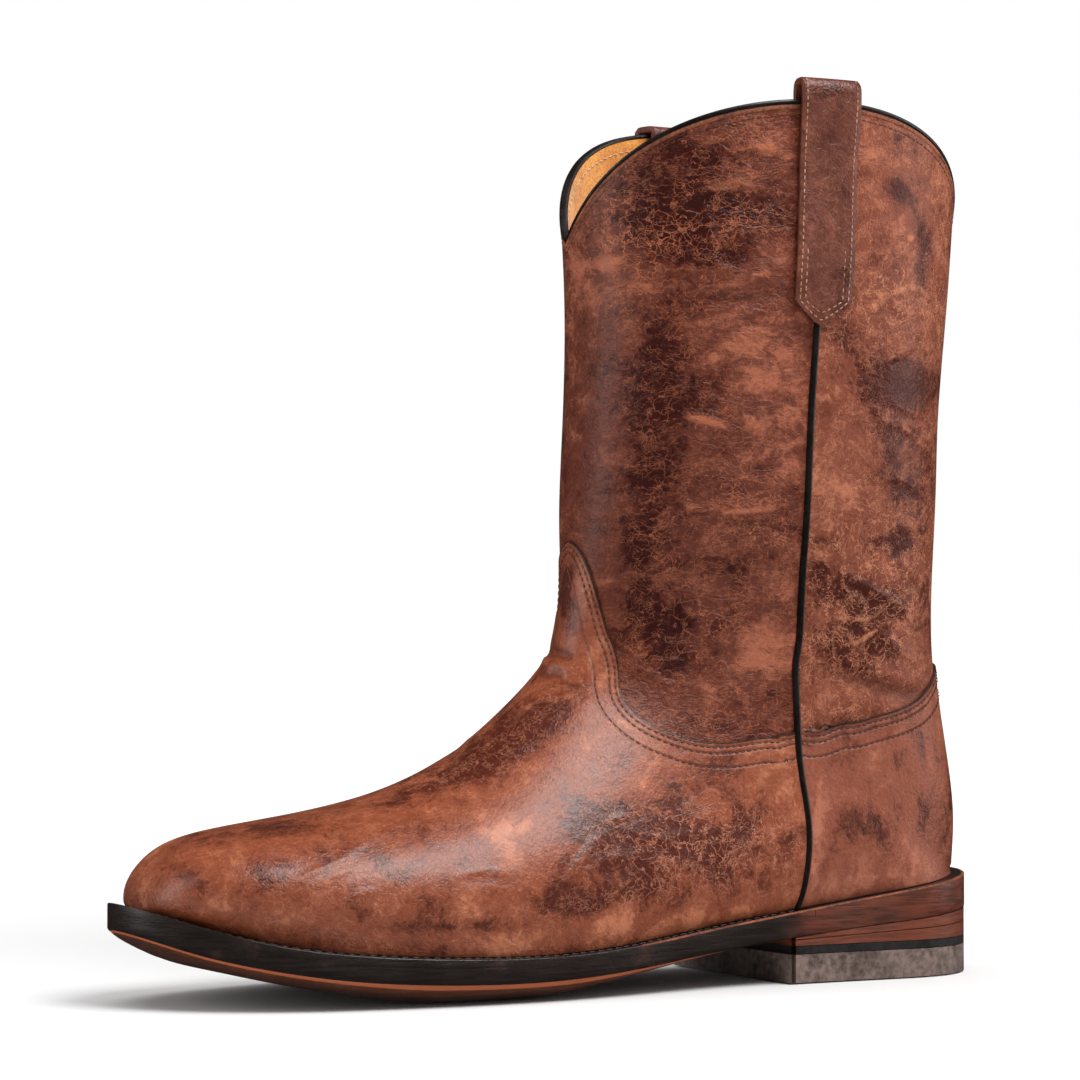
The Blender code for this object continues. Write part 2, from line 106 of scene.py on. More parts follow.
# Front line: row, x over length and shaft depth, z over instep and the leg above it
frontTable = (
    (0.00, -0.476, 0.00, 0.262, 0.00),
    (0.03, -0.471, 0.00, 0.330, 0.00),
    (0.06, -0.452, 0.00, 0.392, 0.00),
    (0.10, -0.417, 0.00, 0.443, 0.00),
    (0.16, -0.330, 0.00, 0.486, 0.00),
    (0.22, -0.213, 0.00, 0.545, 0.00),
    (0.28, -0.115, 0.00, 0.655, 0.00),
    (0.34, -0.050, 0.00, 0.790, 0.00),
    (0.41, -0.013, 0.00, 0.888, 0.00),
    (0.49, 0.039, -0.08, 0.948, 0.00),
    (0.56, 0.101, -0.20, 1.000, 0.00),
    (0.62, 0.175, -0.35, 1.000, 0.055),
    (0.69, 0.233, -0.47, 1.000, 0.135),
    (0.76, 0.238, -0.475, 1.000, 0.240),
    (0.84, 0.244, -0.475, 1.000, 0.450),
    (0.92, 0.248, -0.475, 1.000, 0.720),
    (1.00, 0.250, -0.490, 1.000, 1.000),
)

# Back line, same columns
backTable = (
    (0.56, 0.4835, 0.00, 0.290, 0.00),
    (0.60, 0.4880, 0.00, 0.450, 0.00),
    (0.65, 0.4760, 0.00, 0.700, 0.00),
    (0.70, 0.4100, 0.12, 0.980, 0.00),
    (0.76, 0.2780, 0.42, 1.000, 0.220),
    (0.84, 0.2500, 0.495, 1.000, 0.450),
    (0.92, 0.2500, 0.520, 1.000, 0.720),
    (1.00, 0.2500, 0.545, 1.000, 1.000),
)

# Row, outer and inner half-width, share of the shaft width, widest height, fullness above and below, split
sectionTable = (
    (0.00, 0.000, 0.000, 0.00, 0.30, 2.3, 2.2, 0.12),
    (0.03, 0.135, 0.112, 0.00, 0.30, 2.3, 2.2, 0.12),
    (0.06, 0.243, 0.192, 0.00, 0.30, 2.4, 2.2, 0.12),
    (0.10, 0.335, 0.272, 0.00, 0.30, 2.4, 2.2, 0.12),
    (0.16, 0.412, 0.352, 0.00, 0.28, 2.3, 2.2, 0.12),
    (0.22, 0.452, 0.418, 0.00, 0.26, 2.1, 2.2, 0.13),
    (0.28, 0.446, 0.400, 0.00, 0.26, 2.0, 2.2, 0.20),
    (0.34, 0.400, 0.345, 0.00, 0.28, 2.0, 2.2, 0.30),
    (0.41, 0.356, 0.330, 0.00, 0.36, 2.0, 2.4, 0.38),
    (0.49, 0.300, 0.292, 0.04, 0.46, 2.0, 2.7, 0.42),
    (0.56, 0.245, 0.245, 0.09, 0.52, 2.0, 2.9, 0.44),
    (0.62, 0.160, 0.160, 0.18, 0.53, 2.0, 2.8, 0.47),
    (0.69, 0.060, 0.060, 0.31, 0.54, 2.05, 2.5, 0.49),
    (0.76, 0.000, 0.000, 0.43, 0.55, 2.05, 2.3, 0.50),
    (0.84, 0.000, 0.000, 0.47, 0.55, 2.0, 2.1, 0.50),
    (0.92, 0.000, 0.000, 0.495, 0.55, 2.0, 2.05, 0.50),
    (1.00, 0.000, 0.000, 0.505, 0.55, 2.0, 2.0, 0.50),
)

# Upper edge of the foot panels: turn from the back (0) to the front (0.5), row
footEdgeTable = (
    (0.000, 0.690), (0.070, 0.683), (0.140, 0.657), (0.184, 0.637), (0.200, 0.6268), (0.212, 0.6165),
    (0.220, 0.606), (0.227, 0.584), (0.240, 0.566), (0.248, 0.547), (0.264, 0.4995), (0.280, 0.4535),
    (0.305, 0.423), (0.330, 0.414), (0.358, 0.422), (0.375, 0.443), (0.387, 0.485), (0.395, 0.535),
    (0.414, 0.588), (0.435, 0.636), (0.453, 0.676), (0.483, 0.715), (0.500, 0.724),
)

# Side seam above the foot panels (row, turn), and below them the seam of vamp and counter (height, x)
legSeamTable = (
    (0.584, 0.2270), (0.605, 0.2333), (0.630, 0.2388), (0.668, 0.2412), (0.750, 0.2464), (1.000, 0.2500),
)
footSeamTable = ((20, 71.5), (27, 72.3), (36, 73.2), (45, 74), (54, 73.8), (63, 72.3), (72, 71), (82, 70.8))
corner = legSeamTable[0][1]  # turn where the two seams and the foot panels' edge meet


def natural(table, column):
    # natural cubic curve through a column against the first one
    xs = np.array([line[0] for line in table])
    ys = np.array([line[column] for line in table])
    step = np.diff(xs)
    count = len(xs)
    matrix = np.eye(count)
    right = np.zeros(count)
    for i in range(1, count - 1):
        matrix[i, i - 1:i + 2] = step[i - 1], 2 * (step[i - 1] + step[i]), step[i]
        right[i] = 6 * ((ys[i + 1] - ys[i]) / step[i] - (ys[i] - ys[i - 1]) / step[i - 1])
    bend = np.linalg.solve(matrix, right)

    def curve(value):
        value = np.asarray(value, float)
        i = np.clip(np.searchsorted(xs, value, side="right") - 1, 0, count - 2)
        past = value - xs[i]
        left = xs[i + 1] - value
        cubic = (bend[i] * left ** 3 + bend[i + 1] * past ** 3) / (6 * step[i])
        return (cubic + (ys[i] / step[i] - bend[i] * step[i] / 6) * left
                + (ys[i + 1] / step[i] - bend[i + 1] * step[i] / 6) * past)
    return curve


def unit(vectors):
    return vectors / np.linalg.norm(vectors, axis=-1, keepdims=True)


def runLength(line):
    # length of a polyline up to each of its points
    return np.concatenate([[0], np.cumsum(np.linalg.norm(np.diff(line, axis=0), axis=1))])


def follow(at, length, table):
    # points or directions of a table at places along its length
    return np.stack([np.interp(at, length, column) for column in table.T], -1)


def smoothed(values, rounds):
    for _ in range(rounds):
        values[1:-1] = (values[:-2] + 2 * values[1:-1] + values[2:]) / 4
    return values


outerBall, innerBall, heelAdd = (natural(outlineTable, k) for k in (1, 2, 3))
soleTop, soleEdge, soleCrown = (natural(soleTable, k) for k in (1, 2, 3))
frontLine = [natural(frontTable, k) for k in (1, 2, 3, 4)]
backLine = [natural(backTable, k) for k in (1, 2, 3, 4)]
section = [natural(sectionTable, k) for k in range(1, 8)]
footEdge = natural(footEdgeTable, 1)
legSeam = natural(legSeamTable, 1)
footSeamX = natural(footSeamTable, 1)


def along(x):
    return np.clip(np.asarray(x) / boot["length"] + 0.5, 0, 1)


def topHeight(x):
    return boot["instep"] * soleTop(along(x))


def edgeHeight(x):
    return boot["instep"] * soleEdge(along(x))


def floorHeight(x):
    return np.maximum(edgeHeight(x) - boot["instep"] * soleCrown(along(x)), 0)


def rim(share, side, fore, rear):
    # point of the sole's outline, set in by fore at the toe and by rear at the heel
    share = np.asarray(share, float)
    ball = np.where(np.asarray(side) < 0, outerBall(share), innerBall(share))
    setIn = fore + (rear - fore) * share ** 2 * (3 - 2 * share)
    half = boot["ballWidth"] * ball + boot["heelWidth"] * heelAdd(share) - setIn
    toe, toePower = boot["toeRound"]
    heel, heelPower = boot["heelRound"]
    toeEnd = (1 - np.clip(1 - share / toe, 0, 1) ** toePower) ** (1 / toePower)
    heelEnd = (1 - np.clip(1 - (1 - share) / heel, 0, 1) ** heelPower) ** (1 / heelPower)
    x = -boot["length"] / 2 + fore + share * (boot["length"] - fore - rear)
    return x, side * half * toeEnd * heelEnd


def seenLine(curves, row, out):
    # point of a line of the upper seen from the side, moved out to the line's left
    def at(place):
        parts = [curve(place) for curve in curves]
        leg = boot["shaftHeight"] - boot["instep"]
        return np.stack([boot["length"] * parts[0] + boot["shaftDepth"] * parts[1],
                         boot["instep"] * parts[2] + leg * parts[3]], -1)
    lead = unit(at(row + 0.002) - at(row - 0.002))
    point = at(row)
    return point[..., 0] - out * lead[..., 1], point[..., 1] + out * lead[..., 0]


def collarDrop(turn):
    # depth of the collar below its peaks at the side seams: a V in front and one behind
    degrees = 360 * turn
    front = 180 + boot["dipTurn"]
    reach = np.where(degrees < front, front - 90, 270 - front)
    nearFront = np.sqrt((degrees - front) ** 2 + 25) / reach
    nearBack = np.sqrt(np.minimum(degrees, 360 - degrees) ** 2 + 25) / 90
    power = boot["dipPower"]
    return boot["collarDip"] * (np.clip(1 - nearFront, 0, 1) ** power + np.clip(1 - nearBack, 0, 1) ** power)


def skin(row, turn, out):
    # row runs from the toe (0) to the collar (1), turn from the outer feather or the back seam over the top
    row, turn, out = np.broadcast_arrays(*(np.asarray(value, float) for value in (row, turn, out)))
    side = np.where(turn <= 0.5, -1.0, 1.0)
    up = np.clip(2 * np.minimum(turn, 1 - turn), 0, 1)
    share = (1 - np.cos(math.pi * np.clip(row / boot["heelRow"], 0, 1))) / 2
    featherX, featherY = rim(share, side, boot["weltMargin"] - out, boot["randMargin"] - out)
    featherY = np.abs(featherY) * (row < boot["heelRow"])
    backX, backZ = seenLine(backLine, np.maximum(row, boot["heelRow"]), -out)
    backX = np.where(row < boot["heelRow"], featherX, backX)
    backZ = np.where(row < boot["heelRow"], topHeight(featherX) + boot["clearance"], backZ)
    frontX, frontZ = seenLine(frontLine, row, out)
    outer, inner, shaft, widest, upper, lower, below = (curve(row) for curve in section)
    width = boot["ballWidth"] * np.where(side < 0, outer, inner) + boot["shaftWidth"] * shaft + out
    width = np.maximum(width, featherY + 0.4)
    feather = np.minimum(featherY / width, 0.985)
    depth = widest / (1 - feather ** lower) ** (1 / lower)
    first = np.arccos(feather ** (lower / 2))
    down = first * np.clip(1 - up / below, 0, 1)
    rise = math.pi / 2 * np.clip((up - below) / (1 - below), 0, 1)
    high = np.where(up < below, widest - depth * np.sin(down) ** (2 / lower),
                    widest + (1 - widest) * np.sin(rise) ** (2 / upper))
    across = np.where(up < below, np.cos(down) ** (2 / lower), np.abs(np.cos(rise)) ** (2 / upper))
    point = np.stack([backX + high * (frontX - backX), side * width * across,
                      backZ + high * (frontZ - backZ)], -1)
    leg = np.clip((row - boot["legRow"]) / (1 - boot["legRow"]), 0, 1)
    point[..., 2] -= collarDrop(turn) * leg ** 1.5
    return point


def halfTurn(turn):
    turn = np.mod(turn, 1)
    return np.minimum(turn, 1 - turn)


def edgeRow(turn):
    return footEdge(halfTurn(turn))


def makeFootSeam():
    # row of the seam of vamp and counter at each turn, from its x at each height
    turns = np.linspace(0, corner, 140)
    rows = np.linspace(0.36, 0.60, 500)
    points = skin(rows[:, None], turns[None, :], boot["footOut"])
    past = points[..., 0] - footSeamX(points[..., 2])
    found = smoothed(np.maximum.accumulate(rows[np.argmin(np.abs(past), axis=0)]), 12)
    found[-1] = footEdge(corner)
    return lambda turn: np.interp(turn, turns, found)


footSeam = makeFootSeam()

# Marks are charted on the boot as it stands in the photograph: millimetres across and up, at this distance
chartView = {"turn": 28.0, "distance": 1225.0, "height": 117.0, "middle": (-4.0, 0.0), "strength": 0.85}


def charted(points):
    turned = math.radians(chartView["turn"])
    x = points[:, 0] - chartView["middle"][0]
    y = points[:, 1] - chartView["middle"][1]
    across = x * math.cos(turned) - y * math.sin(turned)
    away = x * math.sin(turned) + y * math.cos(turned)
    scale = chartView["distance"] / (chartView["distance"] + away)
    height = chartView["height"]
    return np.stack([across * scale, height + (points[:, 2] - height) * scale], -1)


def distanceTo(points, route):
    # distance of each point to a polyline, and the share of the polyline's length there
    length = runLength(route)
    best = np.full(len(points), 1e9)
    share = np.zeros(len(points))
    for i in range(len(route) - 1):
        run = route[i + 1] - route[i]
        part = np.clip((points - route[i]) @ run / (run @ run), 0, 1)
        gap = np.linalg.norm(points - route[i] - part[:, None] * run, axis=1)
        nearer = gap < best
        best[nearer] = gap[nearer]
        share[nearer] = (length[i] + part[nearer] * (length[i + 1] - length[i])) / length[-1]
    return best, share


def foldHeight(points, folds):
    # soft ridges, and troughs where the height is negative, along charted lines
    height = np.zeros(len(points))
    spots = charted(points)
    for high, width, *route in folds:
        near, share = distanceTo(spots, np.reshape(route, (-1, 2)))
        ends = np.clip(np.sin(math.pi * share), 0, 1) ** 0.6
        height += high * ends * np.exp(-(near / width) ** 2)
    return height


def spotValue(points, spots, column):
    # soft ellipses: across, up, long and short radius, slope in degrees, tone, crackle
    value = np.zeros(len(points))
    places = charted(points)
    for across, up, longRadius, shortRadius, slope, *amounts in spots:
        turned = math.radians(slope)
        dx = places[:, 0] - across
        dz = places[:, 1] - up
        run = (dx * math.cos(turned) + dz * math.sin(turned)) / longRadius
        rise = (dz * math.cos(turned) - dx * math.sin(turned)) / shortRadius
        value += amounts[column] * chartView["strength"] * np.exp(-(run ** 2 + rise ** 2))
    return value


def edgeDistance(points):
    # millimetres to the foot panels' upper edge
    best = np.full(len(points), 1e9)
    for start in range(0, len(points), 4000):
        part = points[start:start + 4000]
        gaps = np.linalg.norm(part[:, None, :] - footEdgeLine[None, :, :], axis=2)
        best[start:start + 4000] = gaps.min(axis=1)
    return best


# Small tools for meshes

def addGrid(shape, columns, rows, place):
    made = bmesh.ops.create_grid(shape, x_segments=columns, y_segments=rows, size=0.5)["verts"]
    flat = np.array([vertex.co[:2] for vertex in made]) + 0.5
    for vertex, point in zip(made, place(flat[:, 0], flat[:, 1])):
        vertex.co = point


def closeEnds(shape):
    bmesh.ops.remove_doubles(shape, verts=shape.verts, dist=0.004)
    bmesh.ops.holes_fill(shape, edges=[edge for edge in shape.edges if edge.is_boundary], sides=0)


def finishPiece(name, shape, material, stands, marks=None, thickness=0, inner=None, sharp=50):
    bmesh.ops.remove_doubles(shape, verts=shape.verts, dist=0.004)
    bmesh.ops.recalc_face_normals(shape, faces=shape.faces)
    if inner is not None:  # an open sheet: its faces look away from this point
        centre = Vector(inner)
        facing = sum((face.calc_center_median() - centre).dot(face.normal) * face.calc_area()
                     for face in shape.faces)
        if facing < 0:
            bmesh.ops.reverse_faces(shape, faces=shape.faces)
    bmesh.ops.scale(shape, vec=(0.001, 0.001, 0.001), verts=shape.verts)
    mesh = bpy.data.meshes.new(name)
    shape.to_mesh(mesh)
    shape.free()
    mesh.shade_smooth()
    if sharp:
        mesh.set_sharp_from_angle(angle=math.radians(sharp))
    mesh.materials.append(materials[material])
    piece = bpy.data.objects.new(name, mesh)
    bpy.context.scene.collection.objects.link(piece)
    if marks is not None:
        points = np.empty(len(mesh.vertices) * 3)
        mesh.vertices.foreach_get("co", points)
        points = points.reshape(-1, 3) * 1000
        values = {
            "tone": spotValue(points, marks["spots"], 0),
            "crackle": spotValue(points, marks["spots"], 1),
            "crease": foldHeight(points, marks["folds"]),
            "edge": edgeDistance(points) if marks["sewn"] else np.full(len(points), seams["farAway"]),
        }
        for key, value in values.items():
            mesh.attributes.new(key, "FLOAT", "POINT").data.foreach_set("value", value.astype(np.float32))
    if thickness:
        wall = piece.modifiers.new("wall", "SOLIDIFY")
        wall.thickness = thickness * 0.001
        wall.offset = -1
        rounding = piece.modifiers.new("rounding", "BEVEL")
        rounding.width = 0.00025
        rounding.segments = 2
        rounding.limit_method = "ANGLE"
        rounding.angle_limit = math.radians(60)
    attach(piece, "root")
    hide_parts(*stands)


def srgb(red, green, blue):
    # display colour to the linear one that sockets take
    def linear(value):
        value /= 255
        return value / 12.92 if value <= 0.04045 else ((value + 0.055) / 1.055) ** 2.4
    return linear(red), linear(green), linear(blue), 1.0


# Rows of stitches along the foot panels' upper edge, millimetres in from it
seams = {"rows": (1.6, 3.6, 8.2), "pitch": 2.3, "stitch": (1.6, 0.5, 0.36), "singleTop": 99, "farAway": 90.0}

# Small tools for materials

def addNode(tree, kind, inputs=None, **settings):
    made = tree.nodes.new(kind)
    for key, value in settings.items():
        setattr(made, key, value)
    for key, value in (inputs or {}).items():
        if isinstance(value, bpy.types.NodeSocket):
            tree.links.new(value, made.inputs[key])
        else:
            made.inputs[key].default_value = value
    return made


def calc(tree, operation, *values):
    return addNode(tree, "ShaderNodeMath", dict(enumerate(values)), operation=operation).outputs[0]


def blendColour(tree, factor, low, high):
    values = {0: factor, 6: low, 7: high}
    return addNode(tree, "ShaderNodeMix", values, data_type="RGBA").outputs[2]


def remap(tree, value, low, high, toLow=0.0, toHigh=1.0):
    values = {0: value, 1: low, 2: high, 3: toLow, 4: toHigh}
    return addNode(tree, "ShaderNodeMapRange", values, interpolation_type="SMOOTHSTEP").outputs[0]


def noise(tree, vector, scale, detail=2.0, roughness=0.5):
    values = {"Vector": vector, "Scale": scale, "Detail": detail, "Roughness": roughness}
    return addNode(tree, "ShaderNodeTexNoise", values)


def cellEdge(tree, vector, scale):
    values = {"Vector": vector, "Scale": scale}
    return addNode(tree, "ShaderNodeTexVoronoi", values, feature="DISTANCE_TO_EDGE").outputs["Distance"]


def attribute(tree, name):
    return addNode(tree, "ShaderNodeAttribute", attribute_name=name).outputs["Fac"]


def objectPlace(tree, stretch=(1, 1, 1)):
    place = addNode(tree, "ShaderNodeTexCoord").outputs["Object"]
    if stretch == (1, 1, 1):
        return place
    return addNode(tree, "ShaderNodeMapping", {"Vector": place, "Scale": stretch}).outputs[0]


def newGroup(name, inputs, outputs):
    group = bpy.data.node_groups.new(name, "ShaderNodeTree")
    for way, sockets in (("INPUT", inputs), ("OUTPUT", outputs)):
        for socket, kind in sockets.items():
            group.interface.new_socket(socket, in_out=way, socket_type="NodeSocket" + kind)
    start = group.nodes.new("NodeGroupInput")
    end = group.nodes.new("NodeGroupOutput")
    return group, start.outputs, end.inputs


def newMaterial(name, group, values, coat=(0.0, 0.03), specular=0.5):
    # material from one node group that puts out Color, Roughness and Height in millimetres
    material = bpy.data.materials.new(name)
    material.use_nodes = True
    tree = material.node_tree
    shader = tree.nodes["Principled BSDF"]
    source = addNode(tree, "ShaderNodeGroup", node_tree=group)
    for socket, value in zip(source.inputs, values):
        socket.default_value = srgb(*value) if isinstance(value, tuple) else value
    tree.links.new(source.outputs["Color"], shader.inputs["Base Color"])
    tree.links.new(source.outputs["Roughness"], shader.inputs["Roughness"])
    bump = addNode(tree, "ShaderNodeBump", {"Height": source.outputs["Height"], "Distance": 0.001})
    tree.links.new(bump.outputs["Normal"], shader.inputs["Normal"])
    shader.inputs["Coat Weight"].default_value, shader.inputs["Coat Roughness"].default_value = coat
    shader.inputs["Specular IOR Level"].default_value = specular
    return material


def agedLeatherGroup():
    # waxed calf: mottled tone, dark glossy patches, pale cracked lines, wrinkles, pebble grain, sewn edges
    # painted shade darkens fold troughs and sunk stitch rows; pale fold ridges are partly worn cracks, partly
    # a painted highlight
    tree, start, end = newGroup("agedLeather", {
        "Light": "Color", "Middle": "Color", "Dark": "Color", "Line": "Color",
        "Mottle": "Float", "Crackle": "Float", "Flatten": "Float", "Wrinkle": "Float", "Flow": "Float",
    }, {"Color": "Color", "Roughness": "Float", "Height": "Float"})
    place = objectPlace(tree)
    squash = addNode(tree, "ShaderNodeCombineXYZ", {0: 1.0, 1: 1.0, 2: start["Flatten"]}).outputs[0]
    bent = addNode(tree, "ShaderNodeVectorMath", {0: place, 1: squash}, operation="MULTIPLY").outputs[0]
    for scale, reach in ((65, 0.014), (300, 0.0050)):
        push = noise(tree, place, scale, 2, 0.5).outputs["Color"]
        bent = addNode(tree, "ShaderNodeVectorMath", {0: push, 1: (reach, reach, reach), 2: bent},
                       operation="MULTIPLY_ADD").outputs[0]
    broad = noise(tree, bent, 24, 4, 0.6).outputs["Fac"]
    cloudy = noise(tree, bent, 90, 5, 0.68).outputs["Fac"]
    speck = noise(tree, place, 620, 2, 0.65).outputs["Fac"]

    mottle = calc(tree, "SUBTRACT", broad, 0.5)
    mottle = calc(tree, "MULTIPLY_ADD", calc(tree, "SUBTRACT", cloudy, 0.5), 1.5, mottle)
    tone = calc(tree, "MULTIPLY_ADD", mottle, start["Mottle"], attribute(tree, "tone"))
    tone = calc(tree, "MULTIPLY_ADD", calc(tree, "SUBTRACT", speck, 0.5), 0.7, tone)
    colour = blendColour(tree, remap(tree, tone, -0.75, 0.0), start["Dark"], start["Middle"])
    colour = blendColour(tree, remap(tree, tone, 0.0, 0.75), colour, start["Light"])

    # cracked lines at three sizes, each broken up by a slower noise
    lines = None
    dents = None
    for scale, width, low, high, share in ((140, 0.022, 0.45, 0.56, 1.0), (310, 0.048, 0.48, 0.58, 0.9),
                                           (760, 0.11, 0.50, 0.60, 0.8)):
        near = cellEdge(tree, bent, scale)
        where = remap(tree, noise(tree, place, scale * 0.36, 3, 0.6).outputs["Fac"], low, high, 0.0, share)
        line = calc(tree, "MULTIPLY", remap(tree, near, 0.0, width, 1.0, 0.0), where)
        dent = calc(tree, "MULTIPLY", remap(tree, near, 0.0, width * 3, 1.0, 0.0), 20 / scale)
        lines = line if lines is None else calc(tree, "MAXIMUM", lines, line)
        dents = dent if dents is None else calc(tree, "ADD", dents, dent)
    level = addNode(tree, "ShaderNodeVectorMath", {0: bent, 1: (1, 1, 2.4)}, operation="MULTIPLY").outputs[0]
    wrinkle = noise(tree, level, 80, 4, 0.6).outputs["Fac"]
    wrinkle = calc(tree, "ABSOLUTE", calc(tree, "SUBTRACT", wrinkle, 0.5))
    flow = calc(tree, "MULTIPLY", remap(tree, wrinkle, 0.0, 0.013, 1.0, 0.0), remap(tree, cloudy, 0.44, 0.55))
    lines = calc(tree, "MAXIMUM", lines, calc(tree, "MULTIPLY", flow, start["Flow"]))
    amount = calc(tree, "ADD", start["Crackle"], attribute(tree, "crackle"))
    amount = addNode(tree, "ShaderNodeClamp", {0: amount}).outputs[0]
    lines = calc(tree, "MULTIPLY", lines, amount)
    # pale lines along fold ridges: worn cracks, and partly a painted highlight on the ridges
    crease = attribute(tree, "crease")
    broken = remap(tree, cloudy, 0.40, 0.56)
    raised = calc(tree, "MULTIPLY", remap(tree, crease, 0.30, 0.75, 0.0, 0.8), broken)
    lines = calc(tree, "MAXIMUM", lines, raised)
    colour = blendColour(tree, calc(tree, "MULTIPLY", lines, 0.8), colour, start["Line"])
    # fold troughs darkened towards the dark colour: painted shade in the creases
    colour = blendColour(tree, remap(tree, crease, -0.9, -0.15, 0.5, 0.0), colour, start["Dark"])

    # sewn edge of the foot panels: painted edge, burnished margin, sunk rows of stitches darkened as painted
    # shade
    edge = attribute(tree, "edge")
    rows = None
    for distance in seams["rows"]:
        away = calc(tree, "ABSOLUTE", calc(tree, "SUBTRACT", edge, distance))
        row = remap(tree, away, 0.0, 0.8, 1.0, 0.0)
        rows = row if rows is None else calc(tree, "MAXIMUM", rows, row)
    colour = blendColour(tree, remap(tree, edge, 0.0, 11.0, 0.05, 0.0), colour, start["Dark"])
    # stitch rows darkened: painted shade in the sunk grooves
    colour = blendColour(tree, calc(tree, "MULTIPLY", rows, 0.3), colour, start["Dark"])
    colour = blendColour(tree, remap(tree, edge, 0.3, 0.9, 0.9, 0.0), colour, srgb(30, 18, 14))
    tree.links.new(colour, end["Color"])

    rough = remap(tree, tone, -0.7, 0.6, 0.33, 0.46)
    rough = calc(tree, "MULTIPLY_ADD", lines, 0.18, rough)
    rough = calc(tree, "MULTIPLY_ADD", calc(tree, "SUBTRACT", speck, 0.5), 0.25, rough)
    tree.links.new(rough, end["Roughness"])

    grain = addNode(tree, "ShaderNodeTexVoronoi", {"Vector": place, "Scale": 1150.0}).outputs["Distance"]
    height = calc(tree, "MULTIPLY", calc(tree, "MULTIPLY", dents, amount), -0.5)
    height = calc(tree, "MULTIPLY_ADD", remap(tree, wrinkle, 0.0, 0.12, 1.0, 0.0), start["Wrinkle"], height)
    height = calc(tree, "MULTIPLY_ADD", cloudy, 0.55, height)
    height = calc(tree, "MULTIPLY_ADD", speck, 0.24, height)
    height = calc(tree, "MULTIPLY_ADD", grain, 0.09, height)
    height = calc(tree, "MULTIPLY_ADD", rows, -0.3, height)
    tree.links.new(height, end["Height"])
    return tree


def edgeLeatherGroup():
    # dyed and burnished edge leather: long streaks, red-brown scuffs, and another colour behind a length
    tree, start, end = newGroup("edgeLeather", {
        "Base": "Color", "Scuff": "Color", "Heel": "Color", "Streak": "Float", "From": "Float", "To": "Float",
    }, {"Color": "Color", "Roughness": "Float", "Height": "Float"})
    place = objectPlace(tree)
    long = addNode(tree, "ShaderNodeMapping", {"Vector": place, "Scale": (0.07, 0.12, 1.0)}).outputs[0]
    streak = noise(tree, long, 900, 4, 0.65).outputs["Fac"]
    patch = noise(tree, place, 75, 4, 0.6).outputs["Fac"]
    fine = noise(tree, place, 900, 2, 0.5).outputs["Fac"]
    x = addNode(tree, "ShaderNodeSeparateXYZ", {0: place}).outputs[0]
    behind = calc(tree, "MULTIPLY_ADD", calc(tree, "SUBTRACT", patch, 0.5), 0.02, x)
    behind = remap(tree, behind, start["From"], start["To"])
    base = blendColour(tree, behind, start["Base"], start["Heel"])
    colour = blendColour(tree, remap(tree, patch, 0.56, 0.72, 0.0, 0.6), base, start["Scuff"])
    dark = calc(tree, "MULTIPLY", remap(tree, streak, 0.35, 0.6, 1.0, 0.0), start["Streak"])
    colour = blendColour(tree, dark, colour, srgb(20, 14, 12))
    normal = addNode(tree, "ShaderNodeNewGeometry").outputs["Normal"]
    upward = addNode(tree, "ShaderNodeSeparateXYZ", {0: normal}).outputs[2]
    colour = blendColour(tree, remap(tree, upward, 0.6, 0.9), colour, srgb(30, 22, 19))
    tree.links.new(colour, end["Color"])
    tree.links.new(remap(tree, patch, 0.3, 0.7, 0.34, 0.52), end["Roughness"])
    height = calc(tree, "MULTIPLY", streak, 0.25)
    tree.links.new(calc(tree, "MULTIPLY_ADD", fine, 0.08, height), end["Height"])
    return tree


def softGroup():
    # suede, rubber and thread: a fine nap over a slow change of colour
    tree, start, end = newGroup("finePile", {
        "Low": "Color", "High": "Color", "Size": "Float", "Slow": "Float", "Rough": "Float", "Depth": "Float",
    }, {"Color": "Color", "Roughness": "Float", "Height": "Float"})
    place = objectPlace(tree)
    nap = noise(tree, place, start["Size"], 3, 0.65).outputs["Fac"]
    slow = noise(tree, place, start["Slow"], 3, 0.6).outputs["Fac"]
    both = calc(tree, "ADD", calc(tree, "MULTIPLY", nap, 0.5), calc(tree, "MULTIPLY", slow, 0.5))
    colour = blendColour(tree, remap(tree, both, 0.36, 0.64), start["Low"], start["High"])
    tree.links.new(colour, end["Color"])
    tree.links.new(calc(tree, "MULTIPLY_ADD", slow, 0.1, start["Rough"]), end["Roughness"])
    tree.links.new(calc(tree, "MULTIPLY", nap, start["Depth"]), end["Height"])
    return tree


agedLeather = agedLeatherGroup()
edgeLeather = edgeLeatherGroup()
finePile = softGroup()

